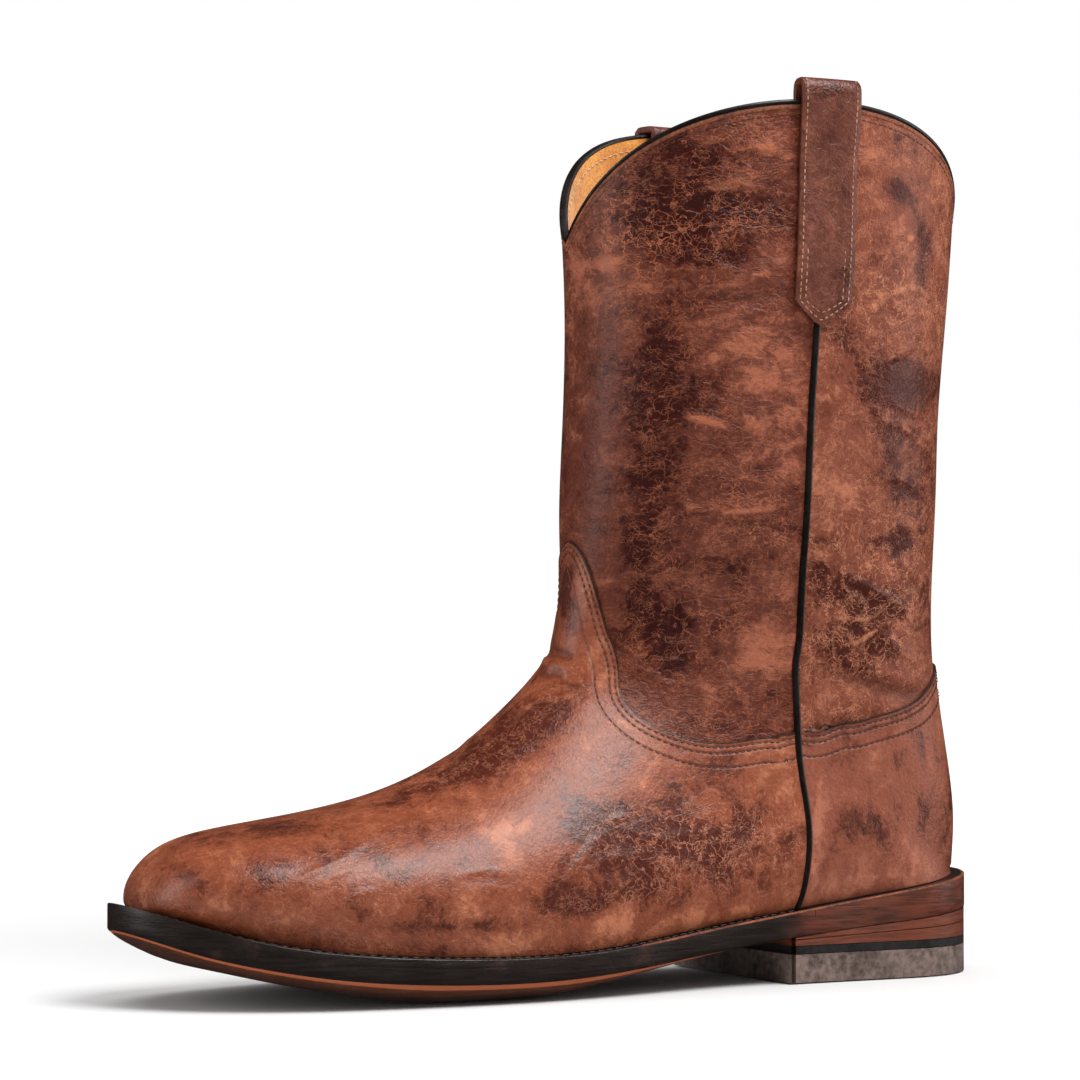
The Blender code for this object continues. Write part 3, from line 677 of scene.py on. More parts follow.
# Group, its inputs in order, then coat weight and roughness, and the specular level, where they matter
looks = {
    "vampLeather": (agedLeather, ((194, 117, 80), (142, 71, 43), (84, 32, 18), (206, 132, 98),
                                  1.7, 0.35, 1.0, 0.08, 1.0), (0.36, 0.28), 0.4),
    "counterLeather": (agedLeather, ((176, 104, 76), (140, 73, 50), (78, 34, 22), (190, 116, 84),
                                     1.8, 0.2, 0.6, 0.05, 0.6), (0.15, 0.32)),
    "frontShaftLeather": (agedLeather, ((162, 90, 63), (103, 47, 30), (58, 13, 7), (190, 108, 70),
                                        1.7, 0.6, 1.5, 0.14, 1.0), (0.12, 0.28), 0.33),
    # back panel lighter than the front: partly its own tan, partly painted light from the right
    "backShaftLeather": (agedLeather, ((168, 98, 70), (124, 62, 41), (72, 24, 14), (204, 132, 94),
                                       1.8, 0.65, 1.1, 0.09, 1.0), (0.12, 0.28), 0.33),
    "strapLeather": (agedLeather, ((140, 76, 54), (98, 47, 32), (60, 24, 16), (170, 104, 76),
                                   1.6, 0.3, 1.0, 0.09, 1.0), (0.1, 0.35)),
    "blackLeather": (finePile, ((11, 8, 7), (34, 25, 21), 700, 60, 0.3, 0.08), (0.2, 0.25)),
    "rawEdge": (finePile, ((84, 42, 24), (150, 82, 48), 900, 90, 0.55, 0.12)),
    "liningSuede": (finePile, ((196, 118, 36), (246, 176, 78), 1100, 90, 0.85, 0.25)),
    "insoleLeather": (finePile, ((150, 100, 64), (190, 138, 94), 500, 40, 0.6, 0.1)),
    "soleEdgeLeather": (edgeLeather, ((40, 27, 22), (88, 50, 36), (112, 54, 35), 0.55, 0.062, 0.078),
                        (0.15, 0.3)),
    "liftLeather": (edgeLeather, ((124, 62, 40), (150, 82, 54), (124, 62, 40), 0.4, 0.3, 0.4), (0.2, 0.3)),
    "soleLeather": (edgeLeather, ((176, 92, 54), (150, 76, 44), (150, 84, 56), 0.08, 0.3, 0.4)),
    # darker brown of the sole's underside: painted shade under the sole
    "treadLeather": (edgeLeather, ((96, 54, 36), (122, 72, 48), (92, 54, 38), 0.25, 0.3, 0.4)),
    "heelRubber": (finePile, ((78, 62, 56), (140, 119, 110), 420, 50, 0.5, 0.14)),
    "layerRubber": (finePile, ((24, 21, 20), (46, 41, 40), 600, 60, 0.45, 0.1)),
    "darkThread": (finePile, ((58, 28, 18), (112, 62, 42), 2600, 200, 0.55, 0.1)),
    "creamThread": (finePile, ((178, 148, 120), (222, 198, 172), 2600, 200, 0.6, 0.1)),
    "tanThread": (finePile, ((128, 78, 56), (196, 150, 118), 2600, 200, 0.6, 0.1)),
    "blackThread": (finePile, ((16, 13, 12), (52, 42, 38), 1800, 120, 0.45, 0.15)),
}
materials = {name: newMaterial(name, *look) for name, look in looks.items()}
suede = materials["liningSuede"].node_tree.nodes["Principled BSDF"].inputs
suede["Sheen Weight"].default_value = 0.4
suede["Sheen Roughness"].default_value = 0.5
print("materials ready")

# Leather panels of the upper

# The shaft tucks under the foot panels by an overlap in rows, deeper at the tongue's foot
panels = {
    "thickness": 1.0, "liningOut": -1.7, "counterRounds": 30,
    "overlap": 0.014, "deeper": 2.5, "deeperAt": 0.385, "deeperReach": 0.02,
}

# Charts of each panel, across and up in the photo's view
# Spots: across, up, long and short radius, slope, tone, crackle
# Folds: height, width, then the points of the line, across and up
charts = {
    "vamp": {
        "sewn": True,
        "spots": (
            (-4, 81, 16, 7.5, 38, -1.3, 0.2), (5, 87, 5, 4, 0, -0.4, 0), (-28, 67, 19, 5, 24, -0.55, 0.2),
            (-24, 69, 15, 6, 32, -0.7, 0.1), (-86, 49, 13, 3, 10, -0.5, 0), (-104, 46, 8, 3, 15, -0.25, 0),
            (-83, 37.5, 8, 4, 10, -0.55, 0), (-90, 36, 4, 2.5, 0, -0.3, 0), (-58, 44, 6, 3, 20, -0.35, 0),
            (-51, 40, 4, 3, 0, -0.3, 0), (-106, 41, 11, 3, 8, 0.35, 0), (-124, 30, 8, 8, 0, 0.1, 0),
            (-68, 32, 25, 8, 5, 0.1, 0), (-22, 18.4, 22, 2.4, 0, -0.75, 0), (13, 25, 14, 4, 5, -0.65, 0.2),
            # the lighter spot at (-8, 49) on the next line is a painted highlight
            (25, 54, 12, 7, 0, -0.6, 0.2), (17, 55, 7, 4, 20, -0.6, 0), (-8, 49, 18, 9, 25, 0.4, -0.3),
            # the lighter spot at (-34, 32) on the next line is a painted highlight
            (-34, 32, 14, 7, 0, 0.3, -0.1), (9, 124, 16, 6, 90, -0.75, -0.3),
            (-10, 14, 30, 3.5, 0, 0.3, -0.3), (23.5, 46.5, 17, 8, 0, -0.65, 0.6),
            (12, 58, 7, 5, 0, -0.4, 0), (48, 51, 7, 6, 0, -0.45, 0.5), (68, 50, 5, 3.6, 0, -0.4, 0.3),
            (59, 44, 26, 11, 0, -0.1, 0.6), (29, 29, 15, 4.5, 5, -0.45, 0.3), (12, 25, 9, 3.5, 0, -0.5, 0),
            (78, 40, 5, 6, 0, -0.35, 0.2), (48, 66, 16, 5, 0, 0.1, -0.2), (44, 21, 36, 4.5, 6, 0.35, -0.4),
            (52, 40, 34, 13, 0, -0.65, 0.1), (-56, 37, 26, 10, 8, -0.5, 0.15),
        ),
        "folds": (
            (0.3, 2.0, 13.4, 50, 6.9, 38, 0.9, 26, -0.9, 19),
            (0.25, 1.8, 17.6, 47.6, 12.2, 37, 6.3, 31, 4.5, 24), (0.4, 1.5, -8, 38, -4.5, 30, -2, 22.5),
            (0.25, 1.8, 23.6, 53.6, 19.4, 43, 13.4, 34.5), (-0.35, 2.2, 10.4, 44, 4.5, 32, 1.5, 22.5),
            (0.3, 1.3, -27, 34.5, -17.6, 36.3, -9.3, 35), (0.3, 1.3, -27, 29.7, -15, 31, -7, 28.5),
            (0.4, 1.5, -83, 28.5, -75, 34.5, -65.4, 39, -56, 45), (0.3, 1.4, -77, 28.5, -68, 34, -58, 38),
            (0.35, 1.4, -68, 22.5, -58, 28.5, -50.5, 29.7), (0.3, 1.6, -65.4, 41.6, -51, 47.6, -34, 57),
            (0.5, 1.5, -11.6, 82, -3.3, 89, 5, 95), (0.4, 1.5, -15, 77.5, -8, 75, 0, 78.7),
            (-0.6, 2.2, -31, 68, -24, 77), (-1.6, 2.5, 1.5, 104.7, 5, 106, 10.4, 104),
            (0.9, 2.2, 0.9, 102, 5.7, 103.5, 10.4, 100), (-1.0, 2.0, -0.9, 98.4, 5, 100, 8.6, 96.6),
            (-0.5, 1.6, 5.7, 136, 4.5, 121.6, 7.5, 119), (0.4, 1.3, 22.6, 52, 26.4, 53.6, 29.7, 48.4),
            (0.35, 1.3, 45, 53, 49, 58, 54, 51.7), (0.4, 1.4, 25.4, 49.4, 37.7, 46.5, 46, 47.5, 56, 48.4),
            (0.35, 1.3, 59.5, 48.4, 63, 44.6, 71, 45.6, 73, 51),
            (0.45, 1.4, 12, 34, 20.7, 40, 33, 41, 44.4, 34), (0.4, 1.4, 35, 34, 42.5, 38, 52, 38, 59.5, 42),
            (0.3, 1.8, 8.3, 35, 15, 42, 20.7, 50), (0.35, 1.4, 14, 26.6, 23.5, 32, 35, 33),
        ),
    },
    "counter": {
        "sewn": True,
        "spots": (
            (90, 48, 18, 3.5, 90, 0.4, -0.1), (102, 52, 7, 4.5, 0, -0.55, 0),
            (109, 47.5, 5, 4, 0, -0.35, 0), (126, 58, 9, 7, 90, -0.45, 0), (92, 38, 8, 1.8, 70, -0.7, 0),
            (99.4, 72, 6, 2, 10, -0.3, 0), (110, 34, 20, 3.5, 12, 0.35, -0.1),
            (105, 62.6, 14, 7, 0, 0.15, 0),
        ),
        "folds": (
            (-0.25, 2.5, 88, 30, 91, 44, 90, 60),
        ),
    },
    "frontShaft": {
        "sewn": False,
        "spots": (
            (57, 245.5, 27, 8, 2, -0.6, 0.5), (45.5, 253, 13, 5, 0, -0.4, 0.4),
            (31, 245.5, 9, 7, 0, -0.35, 0.6), (49, 237, 14, 5, -12, -0.5, 0.1),
            # the spot at (70, 234) on the next line: its smoothness is the leather's own, its lighter tone a
            # painted highlight
            (54, 234, 9, 4, 0, -0.35, 0), (70, 234, 12, 6, 0, 0.1, -0.4), (53, 220.7, 8, 3.5, 0, -0.45, 0),
            (66, 220.7, 16, 3, 0, -0.2, 0), (24, 230, 12, 12, 0, 0.15, 0.6), (43, 201, 14, 9, 90, -0.65, 0),
            (36, 187, 10, 10, 0, -0.65, 0), (71, 201, 14, 14, 0, 0.4, 0), (16, 196, 22, 8, 90, -0.15, -0.3),
            (57, 188, 9, 6, 0, -0.3, 0), (61, 275, 26, 8, 0, -0.05, 0.15),
            (15, 165, 26, 9, 90, -0.15, -0.5), (43, 163, 14, 12, 0, -0.6, 0), (33, 159, 16, 6, 90, -0.5, 0),
            (47, 172, 9, 6, 0, 0.15, -0.4), (71, 160, 14, 7, 0, -0.45, 0.35),
            (72, 146, 12, 6, 0, -0.5, 0.4), (38, 146, 12, 5, 0, -0.5, 0.2), (32, 129, 14, 6, 90, -0.6, 0),
            (59, 134, 12, 6, 0, -0.25, 0), (53, 116, 22, 6, 5, -0.35, 0.3),
            (68, 109, 14, 14, 0, 0.45, -0.1), (51, 104.5, 13, 4.5, 0, -0.6, 0),
            (53, 83.5, 9, 3, 0, -0.5, 0.3), (31, 93, 8, 10, 0, 0.05, -0.3),
            (23, 127, 20, 5, 90, 0.05, -0.6), (38, 150, 52, 12, 90, -0.3, 0),
            (74, 172, 66, 10, 90, 0.25, -0.1), (62, 98, 26, 11, 0, 0.15, 0),
            (15, 182, 74, 9, 90, 0.3, -0.2), (28, 243, 15, 14, 0, -0.5, 0.3),
            (50, 262, 34, 15, 0, -0.55, 0),
        ),
        "folds": (
            (0.7, 2.2, 60.7, 267, 70, 269.6, 80.6, 270.5),
            (0.6, 2.0, 45.5, 254.4, 57, 255.8, 65.4, 258, 74, 255.3),
            (-0.6, 3.0, 53, 252, 66.4, 252, 81.5, 252),
            (0.6, 1.8, 45.5, 237.8, 53, 234, 60.7, 229.3, 72, 228.8, 81.5, 232),
            (0.7, 1.8, 49.3, 225.5, 58.8, 224, 66.4, 225, 76, 228),
            (-0.7, 2.5, 49.3, 221.5, 64.5, 220.5, 81.5, 223.5),
            (0.5, 1.6, 43.6, 221.7, 51, 216, 60.7, 215, 74, 215.4, 86.3, 214),
            (0.45, 1.6, 47.4, 210.3, 66.4, 209, 85.3, 210.3), (-0.45, 2.0, 49, 213, 66, 212, 84, 212.4),
            (0.4, 1.5, 36, 200, 44.6, 195, 51, 192.3), (0.5, 1.5, 44.6, 182.8, 55, 182, 60.7, 179.5),
            (0.9, 1.6, 36, 155.6, 49.3, 152.7, 60.7, 151.3, 72, 152.2, 83.4, 153.7),
            (-0.7, 2.4, 49, 149.6, 66, 148, 81, 149.5),
            (0.6, 1.5, 45.5, 182, 53, 180.7, 60.7, 178.3, 66.4, 176.4),
            (0.5, 1.4, 71, 142.3, 76, 139.4, 81.5, 143), (0.3, 1.3, 58.8, 152.7, 58.8, 146, 57, 140.4),
            (0.5, 1.5, 63.5, 123.8, 74, 122.4, 83.4, 121), (-0.5, 2.0, 66, 121, 76, 119.6, 83, 118.4),
            (0.4, 1.3, 40.8, 137.5, 47.4, 134.7, 53, 132), (0.4, 1.3, 38, 132, 45.5, 128, 52, 125),
            (0.35, 1.4, 66.4, 106.3, 70, 111, 79.6, 115.7), (0.4, 1.5, 28.4, 102.5, 38, 98.7, 44.6, 92),
            (0.25, 9.0, 22, 262, 50, 262, 80, 262), (-0.3, 10.0, 22, 243, 50, 242, 80, 240),
        ),
    },
    "backShaft": {
        "sewn": False,
        "spots": (
            (109, 259.6, 22, 8, 90, 0.1, -0.3), (117, 254.4, 6.5, 3.8, -65, -1.1, -0.8),
            (124, 241.6, 8, 3.8, 85, -1.0, -0.7), (123, 225.5, 6, 3.5, 90, -0.8, -0.5),
            (115, 273, 3, 2, 0, -0.6, 0), (116, 193, 14, 10, 0, -1.3, -0.7),
            (117.6, 220.7, 12, 10, 0, 0.3, 0.8), (97, 196, 14, 7, 90, 0.4, -0.1),
            (97.6, 207.5, 5, 3, 90, -0.4, 0), (107, 241.6, 6, 5, 90, -0.2, 0),
            (96, 167, 14, 8, 90, 0.4, -0.1), (113, 169, 7, 6.5, 0, -0.9, -0.6),
            (112, 176.4, 5, 4, 0, -0.5, 0), (116.6, 158.4, 7, 4.5, 0, -0.8, -0.4),
            (91, 142, 4, 2.8, 0, -1.0, -0.5), (111, 142, 6, 5, 0, -0.9, -0.5),
            (118.5, 142, 6, 6, 0, -0.6, 0), (90, 132, 4, 3.5, 90, -0.9, 0),
            (102.4, 127, 7, 4.5, -35, -1.0, -0.3), (110, 122.4, 8, 5, -20, -1.0, -0.4),
            (96, 125, 4, 4, 0, -0.7, 0), (103, 115.7, 7, 5, 0, -0.9, 0), (96, 109, 6, 4, 0, -0.7, 0),
            (111, 108, 7, 3.5, -20, -0.8, 0), (104, 101.5, 14, 4, -8, -0.45, 0),
            (120.4, 125, 8, 5, 90, -0.4, 0), (91, 93, 10, 5, 0, 0.35, -0.2),
            (106, 126, 19, 20, 0, 0.15, 0.7),
        ),
        "folds": (
            (0.8, 1.4, 103, 198, 112, 200.8, 119.5, 205, 127, 204),
            (0.6, 1.3, 105, 214, 114, 222.6, 122, 224.5, 128, 218.8),
            (0.5, 1.3, 107, 224.5, 117.6, 216, 128, 215), (0.5, 1.3, 112, 205.6, 119.5, 209.4, 127, 210.3),
            (0.5, 1.3, 118.5, 237.8, 123.3, 246.3), (0.4, 1.3, 109, 241.6, 117.6, 241.6, 122.3, 237.8),
            (0.5, 1.3, 112, 187.6, 118.5, 184.7, 124, 182), (0.4, 1.3, 108, 182.8, 114, 179),
            (1.0, 1.3, 88, 138.5, 96.7, 132.3, 106, 127, 115.7, 121.4, 123.3, 113),
            (0.8, 1.3, 95, 132, 100.5, 124.3, 106, 119.5),
            (0.7, 1.3, 87, 116.7, 96, 117.6, 105, 117, 112, 120.5, 115, 122.4),
            (0.7, 1.3, 96, 116, 101.5, 109, 109, 113.8, 115.7, 119.5),
            (0.6, 1.3, 109, 113, 116.6, 106.3, 125, 101.5), (0.5, 1.3, 107, 152, 102.4, 148, 102.4, 138.5),
            (0.5, 1.3, 109, 136.6, 118.5, 134.7, 124, 127), (0.4, 1.3, 112, 146, 117.6, 148, 125, 145),
            (0.6, 1.3, 113, 182, 119.5, 177.4, 126, 170.7), (0.5, 1.3, 107, 161.3, 115.7, 163, 125, 156.5),
            (-1.1, 3.0, 93, 99.6, 104, 96.8, 116.6, 93, 126, 94.4), (0.5, 2.0, 96, 103, 108, 100, 120, 97),
            (0.3, 9.0, 92, 222, 110, 222, 130, 222), (-0.35, 9.0, 92, 205, 110, 207, 130, 208),
        ),
    },
    "strap": {
        "sewn": False,
        "spots": (
            (92, 272, 9, 5, 90, -0.25, 0), (99, 262, 16, 4, 90, -0.3, 0), (91, 255, 20, 4, 90, 0.1, 0),
            (93, 232, 7, 5, 0, 0.2, 0), (96, 223, 6, 5, 0, -0.3, 0),
        ),
        "folds": (),
    },
}


def panelPoints(row, turn, out, chart):
    base = skin(row, turn, out)
    return skin(row, turn, out + foldHeight(base, charts[chart]["folds"]))


edgeTurns = np.linspace(0, 1, 1201)
footEdgeLine = skin(edgeRow(edgeTurns), edgeTurns, boot["footOut"])


def vampBack(turn):
    # row where the vamp ends: the seam to the counter low down, the foot edge above it
    half = halfTurn(turn)
    return np.where(half < corner, footSeam(half), footEdge(half))


def evenTurns(first, last, row, out, plain=200):
    # turn spread so that columns are even along a line of the upper, a little evened out by plain
    turns = np.linspace(first, last, 2001)
    line = skin(row(turns), turns, out)
    length = runLength(line) + plain * np.linspace(0, 1, len(line))
    return lambda u: np.interp(u * length[-1], length, turns)


def makeVamp():
    turnAt = evenTurns(0, 1, vampBack, boot["footOut"])

    def place(u, v):
        turn = turnAt(u)
        return panelPoints(vampBack(turn) * v, turn, boot["footOut"], "vamp")
    shape = bmesh.new()
    addGrid(shape, 236, 180, place)
    finishPiece("vamp", shape, "vampLeather", ["upper"], charts["vamp"],
                panels["thickness"], (-20, 0, 40))


def makeCounter():
    turnAt = evenTurns(0, corner, footSeam, boot["footOut"], 20)
    shape = bmesh.new()
    for side in (-1, 1):
        def place(u, v, side=side):
            half = turnAt(u)
            row = footSeam(half) + (footEdge(half) - footSeam(half)) * v
            return skin(row, half if side < 0 else 1 - half, boot["footOut"])
        addGrid(shape, 64, 100, place)
    bmesh.ops.remove_doubles(shape, verts=shape.verts, dist=0.004)
    inside = [vertex for vertex in shape.verts if not vertex.is_boundary]
    for _ in range(panels["counterRounds"]):
        bmesh.ops.smooth_vert(shape, verts=inside, factor=0.5,
                              use_axis_x=True, use_axis_y=True, use_axis_z=True)
    finishPiece("counter", shape, "counterLeather", ["upper"], charts["counter"],
                panels["thickness"], (105, 0, 60))


def makeShaftPanel(name, middle, material, columns, rows, inner):
    # front panel round turn 0.5 or back panel round turn 0, between the side seams
    def place(u, v):
        reach = 2 * u - 1
        half = 0.25 * np.abs(reach)
        for _ in range(4):
            guess = half if middle == 0 else 0.5 - half
            near = np.exp(-((guess - panels["deeperAt"]) / panels["deeperReach"]) ** 2)
            start = footEdge(guess) - panels["overlap"] * (1 + panels["deeper"] * near)
            row = start + (1 - start) * v
            seam = legSeam(np.maximum(row, legSeamTable[0][0]))
            half = np.abs(reach) * (seam if middle == 0 else 0.5 - seam)
        turn = np.mod(middle + np.sign(reach) * half, 1)
        return panelPoints(row, turn, boot["legOut"], name)
    shape = bmesh.new()
    addGrid(shape, columns, rows, place)
    finishPiece(name, shape, material, ["upper"], charts[name],
                panels["thickness"], inner)


def makeLining():
    def place(u, v):
        return skin(v, u, panels["liningOut"])
    shape = bmesh.new()
    addGrid(shape, 150, 120, place)
    finishPiece("lining", shape, "liningSuede", ["upper"], None,
                panels["thickness"], (60, 0, 120))


makeVamp()
makeCounter()
makeShaftPanel("frontShaft", 0.5, "frontShaftLeather", 176, 180, (85, 0, 180))
makeShaftPanel("backShaft", 0.0, "backShaftLeather", 190, 186, (95, 0, 180))
makeLining()
print("upper made")

# Stitches

def outwardAt(row, turn, out):
    return unit(skin(row, turn, out + 1) - skin(row, turn, out))


def makeStitchForm():
    shape = bmesh.new()
    bmesh.ops.create_uvsphere(shape, u_segments=7, v_segments=5, radius=0.5)
    form = bpy.data.meshes.new("stitchForm")
    shape.to_mesh(form)
    shape.free()
    return form


stitchForm = makeStitchForm()
stitchPoints = np.array([vertex.co for vertex in stitchForm.vertices])


def sewLine(shape, line, outward, pitch, size, sunk=0.3, keep=None):
    # evenly spaced stitches along a line: length, width and height of one, share of it sunk in
    length = runLength(line)
    count = int(length[-1] / pitch)
    ways = (np.arange(count) + 0.5) * length[-1] / count
    ahead = unit(follow(ways + 0.5, length, line) - follow(ways - 0.5, length, line))
    across = unit(np.cross(ahead, follow(ways, length, outward)))
    normal = np.cross(across, ahead)
    middle = follow(ways, length, line) + normal * size[2] * (0.5 - sunk)
    turned = np.stack([across * size[1], normal * size[2], ahead * size[0]], 1)
    wanted = np.ones(count, bool) if keep is None else keep(middle)
    spots = (stitchPoints @ turned + middle[:, None, :])[wanted]
    first = len(shape.verts)
    for _ in spots:
        shape.from_mesh(stitchForm)
    shape.verts.ensure_lookup_table()
    for k, spot in enumerate(spots.reshape(-1, 3)):
        shape.verts[first + k].co = spot


def offsetEdge(turns, distance, side):
    # line that runs inside the foot panels' edge at a distance, on one side of the boot
    row = footEdge(turns)
    out = boot["footOut"]
    turns = turns if side < 0 else 1 - turns
    edge = skin(row, turns, out)
    ahead = unit(np.gradient(edge, axis=0))
    inward = np.cross(outwardAt(row, turns, out), ahead)
    toToe = skin(row - 0.01, turns, out) - edge
    inward *= np.sign((inward * toToe).sum(axis=1, keepdims=True))
    target = edge + unit(inward) * distance
    turn = turns.copy()
    for _ in range(5):
        here = skin(row, turn, out)
        byRow = (skin(row + 0.001, turn, out) - here) / 0.001
        byTurn = (skin(row, turn + 0.001, out) - here) / 0.001
        gap = target - here
        a, b, c = (byRow ** 2).sum(1), (byRow * byTurn).sum(1), (byTurn ** 2).sum(1)
        p, q = (byRow * gap).sum(1), (byTurn * gap).sum(1)
        flat = np.maximum(a * c - b * b, 1e-6)
        row = row + np.clip((c * p - b * q) / flat, -0.02, 0.02)
        turn = turn + np.clip((a * q - b * p) / flat, -0.01, 0.01)
    return panelPoints(row, turn, out, "vamp"), outwardAt(row, turn, out)


def sewFootEdge():
    shape = bmesh.new()
    turns = np.concatenate([np.linspace(0.004, 0.36, 300), np.linspace(0.361, 0.496, 300)])
    for side in (-1, 1):
        low = np.linspace(0.1, corner, 60)
        cord = skin(footSeam(low), low if side < 0 else 1 - low, boot["footOut"])
        for distance in seams["rows"]:
            line, outward = offsetEdge(turns, distance, side)

            def clear(point, distance=distance, cord=cord):
                nearEdge = np.linalg.norm(footEdgeLine - point[:, None], axis=2).min(axis=1)
                nearCord = np.linalg.norm(cord - point[:, None], axis=2).min(axis=1)
                wanted = (point[:, 2] < seams["singleTop"]) | (distance < seams["rows"][-1])
                return (nearEdge > distance - 0.35) & (nearCord > 2.0) & wanted
            sewLine(shape, line, outward, seams["pitch"], seams["stitch"], 0.45, clear)
    finishPiece("footStitches", shape, "darkThread", ["upper"], sharp=0)


sewFootEdge()


def sewCollar(name, material, down, out, pitch, size):
    # row round the collar, down from its top
    turns = np.linspace(0, 1, 700)
    top = skin(1.0, turns, out)
    lead = unit(top - skin(0.985, turns, out))
    shape = bmesh.new()
    sewLine(shape, top - lead * down, outwardAt(1.0, turns, out) * (1 if out > -1 else -1), pitch, size, 0.4)
    finishPiece(name, shape, material, ["upper"], sharp=0)


sewCollar("collarStitches", "darkThread", 4.4, boot["legOut"], 2.4, (1.9, 0.5, 0.4))
sewCollar("liningStitches", "creamThread", 4.6, panels["liningOut"] - 1.0, 2.8, (2.0, 0.6, 0.5))

# Collar: black rolled rim over the wall's top, a raw band below it outside

collar = {
    "rimTop": 0.6, "rimDown": 1.1, "rimOut": -0.1, "rimIn": -2.9, "rimRound": 0.75,
    "bandDown": 2.5, "bandOut": -0.2, "bandIn": -1.2, "bandGap": 0.1, "bandRound": 0.25,
}


def collarRing(name, profile, material):
    # closed ring round the collar from (out, height) points of its cross-section
    profile = np.array(profile + profile[:1], float)
    marks = np.linspace(0, 1, len(profile))

    def place(u, v):
        out = np.interp(v, marks, profile[:, 0])
        high = np.interp(v, marks, profile[:, 1])
        top = skin(1.0, u, out)
        return top + unit(top - skin(0.985, u, out)) * high[:, None]
    shape = bmesh.new()
    addGrid(shape, 240, len(profile) - 1, place)
    finishPiece(name, shape, material, ["upper"])


def roundedBox(low, high, bottom, top, radius, steps=4):
    # points of a rounded rectangle in (out, height), anticlockwise
    points = []
    left, right, down, up = low + radius, high - radius, bottom + radius, top - radius
    for quarter, (out, level) in enumerate(((right, up), (left, up), (left, down), (right, down))):
        for k in range(steps + 1):
            angle = math.radians(90 * (quarter + k / steps))
            points.append((out + radius * math.cos(angle), level + radius * math.sin(angle)))
    return points


rimProfile = roundedBox(collar["rimIn"], collar["rimOut"], -collar["rimDown"], collar["rimTop"],
                        collar["rimRound"])
bandTop = -collar["rimDown"] - collar["bandGap"]
bandProfile = roundedBox(collar["bandIn"], collar["bandOut"], -collar["bandDown"], bandTop,
                         collar["bandRound"], 2)
collarRing("collarRim", rimProfile, "blackLeather")
collarRing("collarBand", bandProfile, "rawEdge")

# Pull straps and side piping

strap = {
    "width": 20.5, "thickness": 2.2, "outside": 72.0, "inside": 52.0, "point": 8.0,
    "rise": 7.4, "flatRise": 2.4, "loop": 10.4, "stations": 120,
    "arch": ((1.00, 0.15), (1.00, 0.42), (0.93, 0.66), (0.68, 0.82), (0.00, 0.85),
             (-0.68, 0.82), (-0.93, 0.66), (-1.00, 0.42), (-1.00, 0.15)),
    "faceSteps": 8, "edgeRound": 0.35, "pitch": 2.1, "stitch": (1.5, 0.5, 0.42),
}
piping = {
    "width": 2.4, "height": 1.15, "stations": 220, "ring": 16, "rounds": 24, "footOut": 0.25, "legOut": -0.35,
}


def seamTurn(row, side):
    turn = legSeam(row)
    return turn if side < 0 else 1 - turn


def rowAt(height, side):
    rows = np.linspace(legSeamTable[0][0], 1, 300)
    heights = skin(rows, seamTurn(rows, side), 0)[:, 2]
    return np.interp(height, heights, rows)


def strapPath(rise):
    # smooth middle line of a strap, from its outer tip over the collar: lengths, then out and height
    lie = boot["wall"] / 2 + boot["clearance"] + strap["thickness"] / 2
    swell = (strap["loop"] - strap["thickness"]) / 2
    path = [(lie, -strap["outside"] * share) for share in (1, 0.6, 0.25)]
    path += [(swell * out, rise * high) for out, high in strap["arch"]]
    path += [(-lie, -strap["inside"] * share) for share in (0.25, 1)]
    length = runLength(path)
    table = [(way, *spot) for way, spot in zip(length, path)]
    return length, [natural(table, k) for k in (1, 2)]


strapPaths = {-1: strapPath(strap["rise"]), 1: strapPath(strap["flatRise"])}
strapSpread = strap["width"] / (math.pi * boot["shaftDepth"])


def strapSpot(way, across, face, side):
    # point of a strap at a length from its outer tip, -1 to 1 across it and out from its middle
    length, curves = strapPaths[side]
    out, high = (curve(way) for curve in curves)
    ahead = [curve(way + 0.2) - curve(way - 0.2) for curve in curves]
    run = np.hypot(*ahead)
    point = np.interp(way, length[:2], (1, 0))
    level = high + point * strap["point"] * np.abs(across) ** 1.3
    row = rowAt(boot["shaftHeight"] + np.minimum(level, 0), side)
    turn = seamTurn(row, side) + across * strapSpread / 2
    middle = -(boot["footLayer"] + boot["wall"]) / 2
    spot = skin(row, turn, middle + out + face * ahead[1] / run)
    spot[:, 2] = boot["shaftHeight"] + level - face * ahead[0] / run
    return spot


def makeStrap(name, node, side):
    # flat faces that stop short of rounded edges, in shares of half the width and half the thickness
    faceEnd = 1 - 2 * strap["edgeRound"] / strap["width"]
    steps = []
    flat = np.linspace(-faceEnd, faceEnd, strap["faceSteps"] + 1)
    for way in (1, -1):
        steps += [(way * across, way) for across in flat]
        steps += [(way, way * math.cos(math.pi * k / 4)) for k in (1, 2, 3)]
    steps = np.array(steps + steps[:1])
    marks = np.linspace(0, 1, len(steps))

    def place(u, v):
        across = np.interp(u, marks, steps[:, 0])
        face = np.interp(u, marks, steps[:, 1]) * strap["thickness"] / 2
        return strapSpot(v * strapPaths[side][0][-1], across, face, side)
    shape = bmesh.new()
    addGrid(shape, len(steps) - 1, strap["stations"], place)
    closeEnds(shape)
    finishPiece(name, shape, "strapLeather", [node], charts["strap"])


def seamRoute(side):
    # rows and turns of the whole side seam, from the welt to just under the strap's point
    top = rowAt(boot["shaftHeight"] - strap["outside"] + 3, side)
    low = np.linspace(0.0, corner, 90)[:-1]
    high = np.linspace(legSeamTable[0][0] + 0.003, top, 160)
    half = np.concatenate([low, legSeam(high)])
    row = np.concatenate([footSeam(low), high])
    out = np.interp(np.arange(len(row)), (len(low), len(low) + 11), (piping["footOut"], piping["legOut"]))
    return row, half if side < 0 else 1 - half, out


